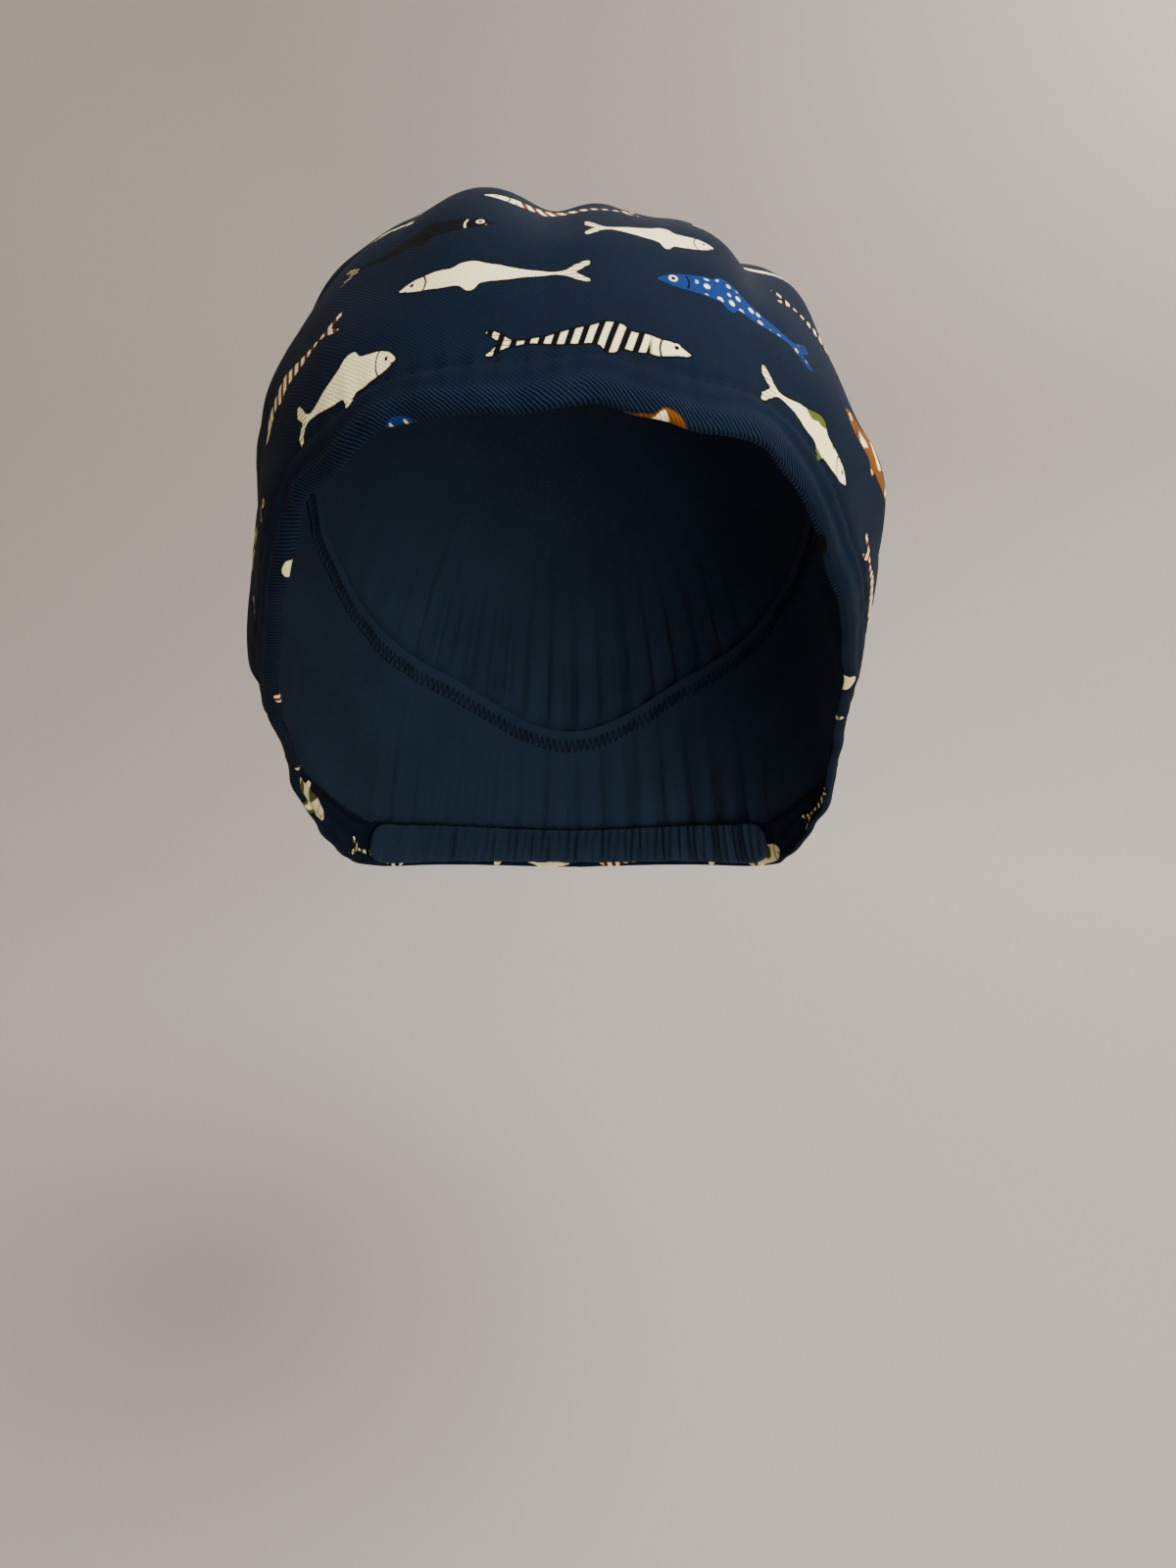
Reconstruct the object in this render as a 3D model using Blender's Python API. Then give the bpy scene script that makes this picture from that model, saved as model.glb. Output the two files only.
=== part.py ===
"""Scrub cap in printed cotton twill, in the form that it has when it is worn.

A tall band goes right round the head, from the hem over the forehead down to the nape. A crown panel is
gathered into its upper edge, and a ruched casing at the nape holds the elastic.

Metres, +Z up. The wearer faces -Y. The origin is the inside top of the cap, where it sits on the head.

Every cloth surface follows one form: a rounded body about a centre inside the head. A place on it is given
by around, the angle round the hem from centre front in degrees, and climb, the way up from the hem.
"""

import math

import bpy
import numpy as np

# Rounded body of the cap about its centre
BODY_WIDTH = 0.177
BODY_FRONT = 0.109
BODY_BACK = 0.114
BODY_RISE = 0.1165
BODY_FALL = 0.260
BODY_POWER = 2.3
CROWN_TILT = 40.0
CLIMB_RADIUS = 0.107

# Hem line, seen from above and from the side, with its heights from the centre
HEM_LINE_WIDTH = 0.160
HEM_LINE_FRONT = 0.0985
HEM_LINE_BACK = 0.074
HEM_LINE_POWER = 2.3
HEM_ABOVE_CENTRE = 0.0615
NAPE_BELOW_CENTRE = 0.096
NAPE_PULL = 0.030
NAPE_SPREAD = 0.100
NAPE_REACH = 0.060

# Lean of the cloth in towards the hem line, turn of the stitched hem, and waves of its edge
TUCK_HEIGHT = 0.030
HEM_TURN_HEIGHT = 0.0105
HEM_TURN_SHARE = 0.55
HEM_TURN_ROUNDING = 0.25
HEM_WAVE_DROP = 0.002
HEM_WAVE_REACH = 0.018

# Height of the band from the hem to the crown seam
BAND_HEIGHT_FRONT = 0.122
BAND_HEIGHT_NAPE = 0.048

# Cloth
CLOTH_WALL = 0.0014
HEM_HEIGHT = 0.0125
HEM_FOLD = 0.0012
HEM_EDGE = 0.0012
CASING_HEIGHT = 0.0135
CASING_THICKNESS = 0.0030
CLEARANCE = 0.0003

# Folds, and gathers round the back of the cap, in degrees round the hem where they are angles
FOLD_LENGTH = 0.040
FOLD_WIDTH = 0.010
FOLD_DEPTH = 0.005
GATHERS = 18
GATHERS_OVER_CASING = 14
GATHER_ANGLE = 160.0
GATHER_FADE = 27.0
HEM_FADE = 4.0
CASING_ROOM = 2.0
CROWN_GATHER_DEPTH = 0.0016
NAPE_GATHER_DEPTH = 0.0014
GATHER_REACH = 0.012

# Fineness of the mesh
FRONT_COLUMNS = 72
COLUMNS_A_GATHER = 4
BAND_ROWS = 8
NORMAL_STEP = 0.0005
SHARP_ANGLE = 50.0

# Colours, as linear shares of red, green and blue
BAND_COLOR = (0.022, 0.043, 0.075)
CROWN_COLOR = (0.020, 0.040, 0.070)
CASING_COLOR = (0.016, 0.032, 0.055)
TWILL_ROUGHNESS = 0.85

# Hem line from the side. fall: share of the way from its front height to its nape height.
HEM_FALL = [
    dict(around=0, fall=0.0),
    dict(around=12, fall=0.013),
    dict(around=25, fall=0.038),
    dict(around=36, fall=0.117),
    dict(around=45, fall=0.225),
    dict(around=56, fall=0.34),
    dict(around=75, fall=0.543),
    dict(around=98, fall=0.775),
    dict(around=115, fall=0.905),
    dict(around=140, fall=0.968),
    dict(around=180, fall=1.0),
]

# Waves of the hem's edge. width: in degrees. drop: share of HEM_WAVE_DROP, and below 0 where the edge rises.
HEM_WAVES = [
    dict(name="sag left of the middle", around=-3, width=5, drop=0.6),
    dict(name="rise right of the middle", around=5.5, width=3, drop=-0.5),
    dict(name="right sag", around=19, width=6, drop=1.1),
    dict(name="left sag", around=-30, width=6, drop=1.2),
    dict(name="left kink", around=-39, width=5, drop=-1.0),
]

# Height of the band. tall: share of the way from its nape height to its front height.
BAND_TALL = [
    dict(around=0, tall=1.0),
    dict(around=20, tall=0.965),
    dict(around=45, tall=0.905),
    dict(around=65, tall=0.83),
    dict(around=90, tall=0.71),
    dict(around=135, tall=0.30),
    dict(around=180, tall=0.0),
]

# Folds and dents that wearing gives the cloth. around and lean are in degrees, and a lean of 90 runs up the
# cap. climb is a share of the band's front height; length, width and rise are shares of FOLD_LENGTH,
# FOLD_WIDTH and FOLD_DEPTH, and a rise below 0 is a dent.
FOLDS = [
    dict(name="top valley", around=-1, climb=0.75, lean=90, length=1.1, width=0.7, rise=-0.7),
    dict(name="top ridge", around=-13, climb=0.72, lean=90, length=1.0, width=1.2, rise=0.75),
    dict(name="left shoulder", around=-26, climb=0.70, lean=90, length=0.8, width=0.9, rise=0.6),
    dict(name="dip right of top", around=13, climb=0.82, lean=90, length=0.75, width=0.7, rise=-0.5),
    dict(name="dip by the corner", around=28, climb=0.62, lean=80, length=0.9, width=0.7, rise=-0.8),
    dict(name="right corner", around=37, climb=0.64, lean=90, length=0.6, width=0.8, rise=0.5),
    dict(name="right hollow", around=50, climb=0.59, lean=90, length=0.5, width=1.2, rise=-0.7),
    dict(name="right notch", around=55, climb=0.51, lean=40, length=0.3, width=0.7, rise=-0.6),
    dict(name="right pouch", around=56, climb=0.36, lean=90, length=0.45, width=1.4, rise=0.7),
    dict(name="left corner", around=-37, climb=0.67, lean=90, length=0.4, width=1.3, rise=1.0),
    dict(name="left notch", around=-41, climb=0.56, lean=20, length=0.4, width=0.6, rise=-0.9),
    dict(name="left bulge", around=-46, climb=0.43, lean=0, length=0.4, width=0.9, rise=0.5),
    dict(name="left hollow", around=-57, climb=0.31, lean=80, length=0.7, width=2.3, rise=-0.6),
    dict(name="left pouch", around=-80, climb=0.16, lean=60, length=0.6, width=2.2, rise=0.7),
    dict(name="left side bulge", around=-110, climb=0.12, lean=90, length=0.5, width=2.0, rise=0.5),
    dict(name="right side bulge", around=113, climb=0.12, lean=90, length=0.5, width=2.0, rise=0.8),
]

# Rows of the crown from its seam to its pole. way: share of that way. columns: share of the seam's columns.
CROWN_ROWS = [
    dict(way=0.0, columns=1.0),
    dict(way=0.06, columns=1.0),
    dict(way=0.14, columns=1.0),
    dict(way=0.24, columns=0.5),
    dict(way=0.36, columns=0.5),
    dict(way=0.50, columns=0.5),
    dict(way=0.64, columns=0.25),
    dict(way=0.78, columns=0.25),
    dict(way=0.90, columns=0.125),
]

TILT = math.radians(CROWN_TILT)
POLE = np.array([0.0, math.sin(TILT), math.cos(TILT)])
FRONTWARD = np.array([0.0, -math.cos(TILT), math.sin(TILT)])
RIGHTWARD = np.array([1.0, 0.0, 0.0])
GATHER_START = 180.0 - GATHER_ANGLE / 2
CASING_START = 180.0 - GATHER_ANGLE / 2 * GATHERS_OVER_CASING / GATHERS


def turned(angle):
    """An angle in degrees, brought between -180 and 180."""
    return (angle + 180.0) % 360.0 - 180.0


def smooth_step(value, start, end):
    """0 up to start, 1 from end, with a smooth rise between them."""
    share = np.clip((value - start) / (end - start), 0.0, 1.0)
    return share * share * (3.0 - 2.0 * share)


def even_curve(rows, column, around):
    """A smooth curve through a table's rows, the same on the left and the right of the cap."""
    places = np.array([row["around"] for row in rows], float)
    values = np.array([row[column] for row in rows], float)
    slopes = np.zeros(len(rows))
    slopes[1:-1] = (values[2:] - values[:-2]) / (places[2:] - places[:-2])
    angle = np.abs(turned(np.asarray(around, float)))
    first = np.clip(np.searchsorted(places, angle, side="right") - 1, 0, len(rows) - 2)
    span = places[first + 1] - places[first]
    share = (angle - places[first]) / span
    start = values[first] * (1 + 2 * share) * (1 - share) ** 2 + slopes[first] * span * share * (1 - share) ** 2
    end = values[first + 1] * share ** 2 * (3 - 2 * share) - slopes[first + 1] * span * share ** 2 * (1 - share)
    return start + end


def hem_line(around):
    """Points of the hem line from the centre."""
    angle = np.radians(around)
    sideways = np.sin(angle)
    backwards = -np.cos(angle)
    depth = np.where(backwards < 0, HEM_LINE_FRONT, HEM_LINE_BACK)
    reach = (np.abs(sideways) / (HEM_LINE_WIDTH / 2)) ** HEM_LINE_POWER
    reach = (reach + (np.abs(backwards) / depth) ** HEM_LINE_POWER) ** (-1 / HEM_LINE_POWER)
    fall = even_curve(HEM_FALL, "fall", around) * (HEM_ABOVE_CENTRE + NAPE_BELOW_CENTRE)
    return np.stack([reach * sideways, reach * backwards, HEM_ABOVE_CENTRE - fall], -1)


def hem_angles(around):
    """Angle round the pole, angle from the pole and distance from the centre of the hem line's points."""
    points = hem_line(around)
    distance = np.linalg.norm(points, axis=-1)
    turn = np.arctan2(points @ RIGHTWARD, points @ FRONTWARD)
    return np.degrees(turn), np.arccos(points @ POLE / distance), distance


def band_height(around):
    """Climb of the crown seam."""
    return BAND_HEIGHT_NAPE + even_curve(BAND_TALL, "tall", around) * (BAND_HEIGHT_FRONT - BAND_HEIGHT_NAPE)


def pole_climb(around):
    """Climb of the crown's pole."""
    return hem_angles(around)[1] * CLIMB_RADIUS


def directions(turn, lean):
    """Unit vectors from the centre, by degrees round the pole and radians from it."""
    turn = np.radians(turn)[..., None]
    lean = np.asarray(lean)[..., None]
    return np.cos(lean) * POLE + np.sin(lean) * (np.cos(turn) * FRONTWARD + np.sin(turn) * RIGHTWARD)


def body_radius(vectors):
    """Distance from the centre to the rounded body."""
    depth = np.where(vectors[..., 1] < 0, BODY_FRONT, BODY_BACK)
    height = np.where(vectors[..., 2] > 0, BODY_RISE, BODY_FALL)
    total = (np.abs(vectors[..., 0]) / (BODY_WIDTH / 2)) ** BODY_POWER
    total = total + (np.abs(vectors[..., 1]) / depth) ** BODY_POWER
    total = total + (np.abs(vectors[..., 2]) / height) ** BODY_POWER
    return total ** (-1 / BODY_POWER)


def arc_from(turn, lean, place):
    """Length along the cloth from the place, in degrees round the pole, to the point."""
    return np.radians(turned(turn - place)) * CLIMB_RADIUS * np.sin(lean)


def nape_hold(turn, lean, climb):
    """How far the elastic holds the cloth in towards the nape."""
    sideways = arc_from(turn, lean, 180.0) / NAPE_SPREAD
    return NAPE_PULL * np.exp(-sideways ** 2 - (climb / NAPE_REACH) ** 2)


def fold_rise(turn, lean, climb):
    """Sum of the folds and dents of the table."""
    total = np.zeros(np.shape(climb))
    for fold in FOLDS:
        along = arc_from(turn, lean, fold["around"])
        above = climb - fold["climb"] * BAND_HEIGHT_FRONT
        tilt = math.radians(fold["lean"])
        lengthwise = (along * math.cos(tilt) + above * math.sin(tilt)) / (fold["length"] * FOLD_LENGTH)
        crosswise = (above * math.cos(tilt) - along * math.sin(tilt)) / (fold["width"] * FOLD_WIDTH)
        total = total + fold["rise"] * FOLD_DEPTH * np.exp(-lengthwise ** 2 - crosswise ** 2)
    return total


def tuck_share(climb):
    """How far the cloth follows the hem line: the stitched hem turns in, and the cloth above it leans in."""
    above = np.maximum(climb, 0.0)
    turn = 1 - above / HEM_TURN_HEIGHT
    turn = (turn + np.sqrt(turn ** 2 + HEM_TURN_ROUNDING ** 2)) / (1 + math.sqrt(1 + HEM_TURN_ROUNDING ** 2))
    return HEM_TURN_SHARE * turn + (1 - HEM_TURN_SHARE) * np.exp(-(above / TUCK_HEIGHT) ** 2)


def hem_drop(around, climb):
    """How far the waves of the hem's edge lower the cloth."""
    total = np.zeros(np.shape(climb))
    for wave in HEM_WAVES:
        total = total + wave["drop"] * np.exp(-(turned(around - wave["around"]) / wave["width"]) ** 2)
    return HEM_WAVE_DROP * total * np.exp(-(np.maximum(climb, 0.0) / HEM_WAVE_REACH) ** 2)


def smooth_point(around, climb):
    """Points of the cloth's outer face before it is gathered, from the centre."""
    turn, hem_lean, hem_distance = hem_angles(around)
    lean = np.maximum(hem_lean - (climb - hem_drop(around, climb)) / CLIMB_RADIUS, 1e-5)
    radius = body_radius(directions(turn, lean)) - nape_hold(turn, lean, climb)
    hem_radius = body_radius(directions(turn, hem_lean)) - nape_hold(turn, hem_lean, np.zeros_like(climb))
    radius = radius + (hem_distance - hem_radius) * tuck_share(climb) + fold_rise(turn, lean, climb)
    return radius[..., None] * directions(turn, lean)


def outward(around, climb):
    """Outward unit normals of the ungathered cloth."""
    step_degrees = math.degrees(NORMAL_STEP / CLIMB_RADIUS)
    climb = np.minimum(climb, pole_climb(around) - 2 * NORMAL_STEP)
    across = smooth_point(around + step_degrees, climb) - smooth_point(around - step_degrees, climb)
    up = smooth_point(around, climb + NORMAL_STEP) - smooth_point(around, climb - NORMAL_STEP)
    normal = np.cross(across, up)
    return normal / np.linalg.norm(normal, axis=-1, keepdims=True)


def gather_depth(around, climb):
    """Height of the gathers above the smooth cloth, strongest beside the seam and the casing."""
    angle = np.abs(turned(around))
    wave = np.cos((angle - 180.0) / GATHER_ANGLE * GATHERS * 2 * math.pi)
    inside = smooth_step(angle, GATHER_START, GATHER_START + GATHER_FADE)
    above_seam = np.maximum(climb - band_height(around), 0.0) / GATHER_REACH
    above_casing = np.maximum(climb - CASING_HEIGHT, 0.0) / GATHER_REACH
    crown = CROWN_GATHER_DEPTH * above_seam * np.exp(1 - above_seam)
    nape = NAPE_GATHER_DEPTH * (0.5 + above_casing) * np.exp(-above_casing)
    nape = nape * smooth_step(band_height(around) - climb, 0.0, GATHER_REACH)
    return wave * inside * (crown + nape)


def cloth_point(around, climb, inset):
    """Points of the gathered cloth, inset from its outer face."""
    around, climb, inset = np.broadcast_arrays(*[np.asarray(item, float) for item in (around, climb, inset)])
    depth = gather_depth(around, climb) - inset
    return smooth_point(around, climb) + depth[..., None] * outward(around, climb)


def seat_height():
    """Height above the centre of the inside top of the cap, where the head holds it."""
    straight_up = pole_climb(np.zeros(1)) - TILT * CLIMB_RADIUS
    return float(cloth_point(np.zeros(1), straight_up, CLOTH_WALL)[0, 2])


def column_angles():
    """Angles of the columns round the cap, closer together where it is gathered."""
    gathered = GATHERS * COLUMNS_A_GATHER
    front = np.linspace(-GATHER_START, GATHER_START, FRONT_COLUMNS + 1)[:-1]
    back = np.linspace(GATHER_START, 360.0 - GATHER_START, gathered + 1)[:-1]
    return np.concatenate([front, back])


def hem_thickness(around):
    """Thickness at the lower edge: the hem's two layers in front, one layer over the casing."""
    hem_end = CASING_START - CASING_ROOM
    past_hem = smooth_step(np.abs(turned(around)), hem_end - HEM_FADE, hem_end)
    return CLOTH_WALL + HEM_FOLD * (1 - past_hem)


def bridge(faces, lower, upper):
    """Fill the strip between two closed rings of (angle, vertex) pairs that may differ in number."""
    low, high = 0, 0
    while low < len(lower) or high < len(upper):
        low_next = lower[(low + 1) % len(lower)][0] + 360.0 * ((low + 1) // len(lower))
        high_next = upper[(high + 1) % len(upper)][0] + 360.0 * ((high + 1) // len(upper))
        corner_low = lower[low % len(lower)][1]
        corner_high = upper[high % len(upper)][1]
        if high == len(upper) or (low < len(lower) and low_next <= high_next):
            faces.append((corner_low, lower[(low + 1) % len(lower)][1], corner_high))
            low += 1
        else:
            faces.append((corner_low, upper[(high + 1) % len(upper)][1], corner_high))
            high += 1


def cloth_object(name, points, faces, material):
    """A smooth-shaded mesh object with its seat on the origin."""
    mesh = bpy.data.meshes.new(name)
    mesh.from_pydata([tuple(point) for point in points], [], faces)
    mesh.validate()
    mesh.shade_smooth()
    mesh.set_sharp_from_angle(angle=math.radians(SHARP_ANGLE))
    mesh.materials.append(material)
    piece = bpy.data.objects.new(name, mesh)
    piece.location = (0.0, 0.0, -seat_height())
    bpy.context.collection.objects.link(piece)
    return piece


def cloth_material(name, color):
    """A plain matt Principled material."""
    material = bpy.data.materials.new(name)
    material.use_nodes = True
    shader = material.node_tree.nodes["Principled BSDF"]
    shader.inputs["Base Color"].default_value = (*color, 1.0)
    shader.inputs["Roughness"].default_value = TWILL_ROUGHNESS
    shader.inputs["Metallic"].default_value = 0.0
    return material


def build_side_band():
    """The band: outer face, turned hem edge and inner face as rings of one closed wall."""
    angles = column_angles()
    top = band_height(angles) - CLEARANCE / 2
    thick = hem_thickness(angles)
    hem_rows = [HEM_EDGE, HEM_HEIGHT / 2, HEM_HEIGHT]
    step = HEM_HEIGHT + HEM_FOLD / 2
    rings = []
    for row in range(BAND_ROWS + 1):
        climb = top + (HEM_HEIGHT - top) * row / BAND_ROWS
        rings.append((climb, np.zeros_like(angles)))
    for climb in reversed(hem_rows[:-1]):
        rings.append((np.full_like(angles, climb), np.zeros_like(angles)))
    rings.append((np.zeros_like(angles), thick / 2))
    for climb in hem_rows:
        rings.append((np.full_like(angles, climb), thick))
    for row in range(BAND_ROWS + 1):
        climb = step + (top - step) * row / BAND_ROWS
        rings.append((climb, np.full_like(angles, CLOTH_WALL)))

    count = len(angles)
    points = np.concatenate([cloth_point(angles, climb, inset) for climb, inset in rings])
    faces = []
    for ring in range(len(rings)):
        after = (ring + 1) % len(rings)
        for column in range(count):
            beside = (column + 1) % count
            faces.append((ring * count + column, after * count + column,
                          after * count + beside, ring * count + beside))
    material = cloth_material("printed_twill_band", BAND_COLOR)
    return cloth_object("side_band", points, faces, material)


def build_crown():
    """The crown panel: an outer and an inner face, joined along the seam edge and closed at the pole."""
    angles = column_angles()
    points = []
    faces = []
    seam_rings = []
    for inset in (0.0, CLOTH_WALL):
        side_faces = []
        below = None
        for row in CROWN_ROWS:
            stride = round(1 / row["columns"])
            around = angles[::stride]
            seam = band_height(around) + CLEARANCE / 2
            climb = seam + (pole_climb(around) - seam) * row["way"]
            ring = [(angle, len(points) + number) for number, angle in enumerate(around)]
            points.extend(cloth_point(around, climb, inset))
            if below is None:
                seam_rings.append(ring)
            else:
                bridge(side_faces, below, ring)
            below = ring
        pole = len(points)
        points.extend(cloth_point(np.zeros(1), pole_climb(np.zeros(1)), inset))
        for number, corner in enumerate(below):
            side_faces.append((corner[1], below[(number + 1) % len(below)][1], pole))
        if inset:
            side_faces = [face[::-1] for face in side_faces]
        faces.extend(side_faces)
    outer, inner = seam_rings
    for number, corner in enumerate(outer):
        beside = (number + 1) % len(outer)
        faces.append((corner[1], inner[number][1], inner[beside][1], outer[beside][1]))
    material = cloth_material("printed_twill_crown", CROWN_COLOR)
    return cloth_object("crown", points, faces, material)


def build_nape_casing():
    """The casing inside the lower edge at the nape, ruched by its elastic."""
    angles = column_angles()
    angles = angles[np.round(angles, 3) >= round(CASING_START, 3)]
    angles = angles[np.round(angles, 3) <= round(360.0 - CASING_START, 3)]
    outer = CLOTH_WALL + CLEARANCE
    inner = outer + CASING_THICKNESS
    corner = CASING_THICKNESS / 3
    section = [
        (corner + HEM_EDGE, outer),
        (CASING_HEIGHT / 2, outer),
        (CASING_HEIGHT - corner, outer),
        (CASING_HEIGHT, outer + corner),
        (CASING_HEIGHT, inner - corner),
        (CASING_HEIGHT - corner, inner),
        (CASING_HEIGHT / 2, inner),
        (corner + HEM_EDGE, inner),
        (HEM_EDGE, inner - corner),
        (HEM_EDGE, outer + corner),
    ]
    size = len(section)
    rings = []
    for angle in angles:
        around = np.full(size, angle)
        climb = np.array([place for place, _ in section])
        inset = np.array([depth for _, depth in section])
        rings.append(cloth_point(around, climb, inset))
    points = np.concatenate(rings)
    faces = []
    for ring in range(len(rings) - 1):
        for place in range(size):
            beside = (place + 1) % size
            faces.append((ring * size + place, (ring + 1) * size + place,
                          (ring + 1) * size + beside, ring * size + beside))
    last = (len(rings) - 1) * size
    faces.append(tuple(range(size)))
    faces.append(tuple(last + place for place in reversed(range(size))))
    material = cloth_material("elastic_casing", CASING_COLOR)
    return cloth_object("nape_casing", points, faces, material)


def main():
    for item in list(bpy.data.objects):
        bpy.data.objects.remove(item, do_unlink=True)
    build_side_band()
    build_crown()
    build_nape_casing()


main()
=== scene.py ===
"""Scrub cap in printed cotton twill: the looks of the worn cap, laid over its solids.

The cloth is modelled as it is sewn: a band with a turned and stitched hem, a crown panel gathered into it,
the overlocked seam inside and the ruched casing at the nape. The wearer faces -Y, and the origin is the
inside top of the cap. A place on the cloth is given by around, the angle round the hem from centre front
in degrees, and climb, the way up from the hem in metres.
"""

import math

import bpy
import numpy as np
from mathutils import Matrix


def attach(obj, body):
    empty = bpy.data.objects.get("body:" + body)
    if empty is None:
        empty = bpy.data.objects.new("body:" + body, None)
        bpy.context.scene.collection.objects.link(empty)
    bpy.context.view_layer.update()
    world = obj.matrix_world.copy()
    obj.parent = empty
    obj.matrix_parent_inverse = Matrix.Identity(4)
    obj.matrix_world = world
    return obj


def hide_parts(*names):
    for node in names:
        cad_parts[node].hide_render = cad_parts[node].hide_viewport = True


bl_info = {
    "name": "Printed Scrub Cap",
    "version": (1, 0, 0),
    "blender": (4, 5, 0),
    "location": "View3D > Sidebar > Scrub Cap",
    "description": "Models a worn scrub cap in printed twill, its seams and stitches, and a plain stage",
    "category": "Add Mesh",
}

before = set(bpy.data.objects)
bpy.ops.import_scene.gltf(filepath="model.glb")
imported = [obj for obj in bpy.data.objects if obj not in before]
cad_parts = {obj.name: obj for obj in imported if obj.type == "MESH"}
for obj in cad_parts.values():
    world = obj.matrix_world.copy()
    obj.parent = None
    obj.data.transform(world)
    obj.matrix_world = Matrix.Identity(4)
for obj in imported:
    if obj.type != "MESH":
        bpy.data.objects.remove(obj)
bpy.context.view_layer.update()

MM = 0.001

# Rounded body of the cap about its centre
BODY_WIDTH = 0.177
BODY_FRONT = 0.109
BODY_BACK = 0.114
BODY_RISE = 0.1165
BODY_FALL = 0.260
BODY_POWER = 2.3
CROWN_TILT = 40.0
CLIMB_RADIUS = 0.107

# Hem line, seen from above and from the side, with its heights from the centre
HEM_LINE_WIDTH = 0.160
HEM_LINE_FRONT = 0.0985
HEM_LINE_BACK = 0.074
HEM_LINE_POWER = 2.3
HEM_ABOVE_CENTRE = 0.0615
NAPE_BELOW_CENTRE = 0.096
NAPE_PULL = 0.030
NAPE_SPREAD = 0.100
NAPE_REACH = 0.060

# Lean of the cloth in towards the hem line, turn of the stitched hem, and waves of its edge
TUCK_HEIGHT = 0.030
HEM_TURN_HEIGHT = 0.0105
HEM_TURN_SHARE = 0.55
HEM_TURN_ROUNDING = 0.25
HEM_WAVE_DROP = 0.002
HEM_WAVE_REACH = 0.018

# Height of the band from the hem to the crown seam
BAND_HEIGHT_FRONT = 0.122
BAND_HEIGHT_NAPE = 0.048

# Cloth of the solids, and what the finished cloth adds to them
SOLID_WALL = 0.0014
CASING_HEIGHT = 0.0135
CASING_HALF_DEPTH = 0.0016
RUCHE_DEPTH = 0.00045
RUCHE_LENGTH = 0.0046
HEM_STEP = 0.0004
ALLOWANCE_HALF_DEPTH = 0.0006

# Folds and gathers
FOLD_LENGTH = 0.040
FOLD_WIDTH = 0.010
FOLD_DEPTH = 0.005
GATHERS = 18
GATHERS_OVER_CASING = 14
GATHER_ANGLE = 160.0
GATHER_FADE = 27.0
CROWN_GATHER_DEPTH = 0.0016
NAPE_GATHER_DEPTH = 0.0014
GATHER_REACH = 0.012

# Fine relief of the sewing, its threads, and the colours of the lamps and the sky
HEM_ROLL = 0.0005
FOLD_UNDER_DEPTH = 0.00055
FOLD_UNDER_CLIMB = 0.0062
EDGE_BEAD = 0.00045
EDGE_BEAD_CLIMB = 0.0032
STITCH_GROOVE = 0.00038
PUCKER = 0.00016
PUCKER_LENGTH = 0.0068
EDGE_RIPPLE = 0.00035
SEAM_VALLEY = 0.0009
EASE_RIPPLE = 0.00035
STITCH_SINK = 0.00002
STITCH_THROUGH_CASING = 0.0046
OVERLOCK_WIDTH = 0.0046
OVERLOCK_OVERHANG = 0.0004
OVERLOCK_DEPTH = 0.0016
OVERLOCK_COLOR = "#141d2c"
LAMP_COLOR = (1.0, 0.97, 0.94)
SKY_COLOR = (1.0, 0.95, 0.90, 1.0)

# Climb at which the band's print has its true scale, and the lean of the twill's wales
PRINT_LEVEL = 0.040
TWILL_LEAN = math.radians(48)

# Real sizes of the patterns: uneven yarn, washed-out clouds and specks, lint, soft rumples of the cloth,
# wobbles of the drawn line, and steps of the threads' plies. A diagonal wave of scale 1 has a band every
# WAVE_BAND metres.
SLUB_LENGTH = 0.002381
CLOUD_SIZE = 0.03571
SPECK_SIZE = 0.001111
LINT_SIZE = 0.0006667
RUMPLE_SIZE = 0.010526
WOBBLE_LENGTH = 0.004762
STITCH_PLY_STEP = 0.0002591
OVERLOCK_PLY_STEP = 0.0004031
WAVE_BAND = 2 * math.pi / (10 * math.sqrt(3))

# Fineness of the meshes
BAND_COLUMNS = 432
BAND_ROWS = 54
HEM_ROWS = 14
EDGE_ROWS = 9
CROWN_COLUMNS = 360
CROWN_ROWS = 56
CASING_COLUMNS = 320
CASING_ROWS = 32
ALLOWANCE_ROWS = 24
LOOP_STEPS = 12
BACKDROP_COLUMNS = 128
BACKDROP_STEPS = 16
NORMAL_STEP = 0.0005

# Hem line from the side. fall: share of the way from its front height to its nape height.
HEM_FALL = [dict(around=around, fall=fall) for around, fall in (
    (0, 0.0), (12, 0.013), (25, 0.038), (36, 0.117), (45, 0.225), (56, 0.34),
    (75, 0.543), (98, 0.775), (115, 0.905), (140, 0.968), (180, 1.0),
)]

# Waves of the hem's edge. width: in degrees. drop: share of HEM_WAVE_DROP, and below 0 where the edge rises.
HEM_WAVES = [
    dict(name="sag left of the middle", around=-3, width=5, drop=0.6),
    dict(name="rise right of the middle", around=5.5, width=3, drop=-0.5),
    dict(name="right sag", around=19, width=6, drop=1.1),
    dict(name="left sag", around=-30, width=6, drop=1.2),
    dict(name="left kink", around=-39, width=5, drop=-1.0),
]

# Height of the band. tall: share of the way from its nape height to its front height.
BAND_TALL = [dict(around=around, tall=tall) for around, tall in (
    (0, 1.0), (20, 0.965), (45, 0.905), (65, 0.83),
    (90, 0.71), (135, 0.30), (180, 0.0),
)]

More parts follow.
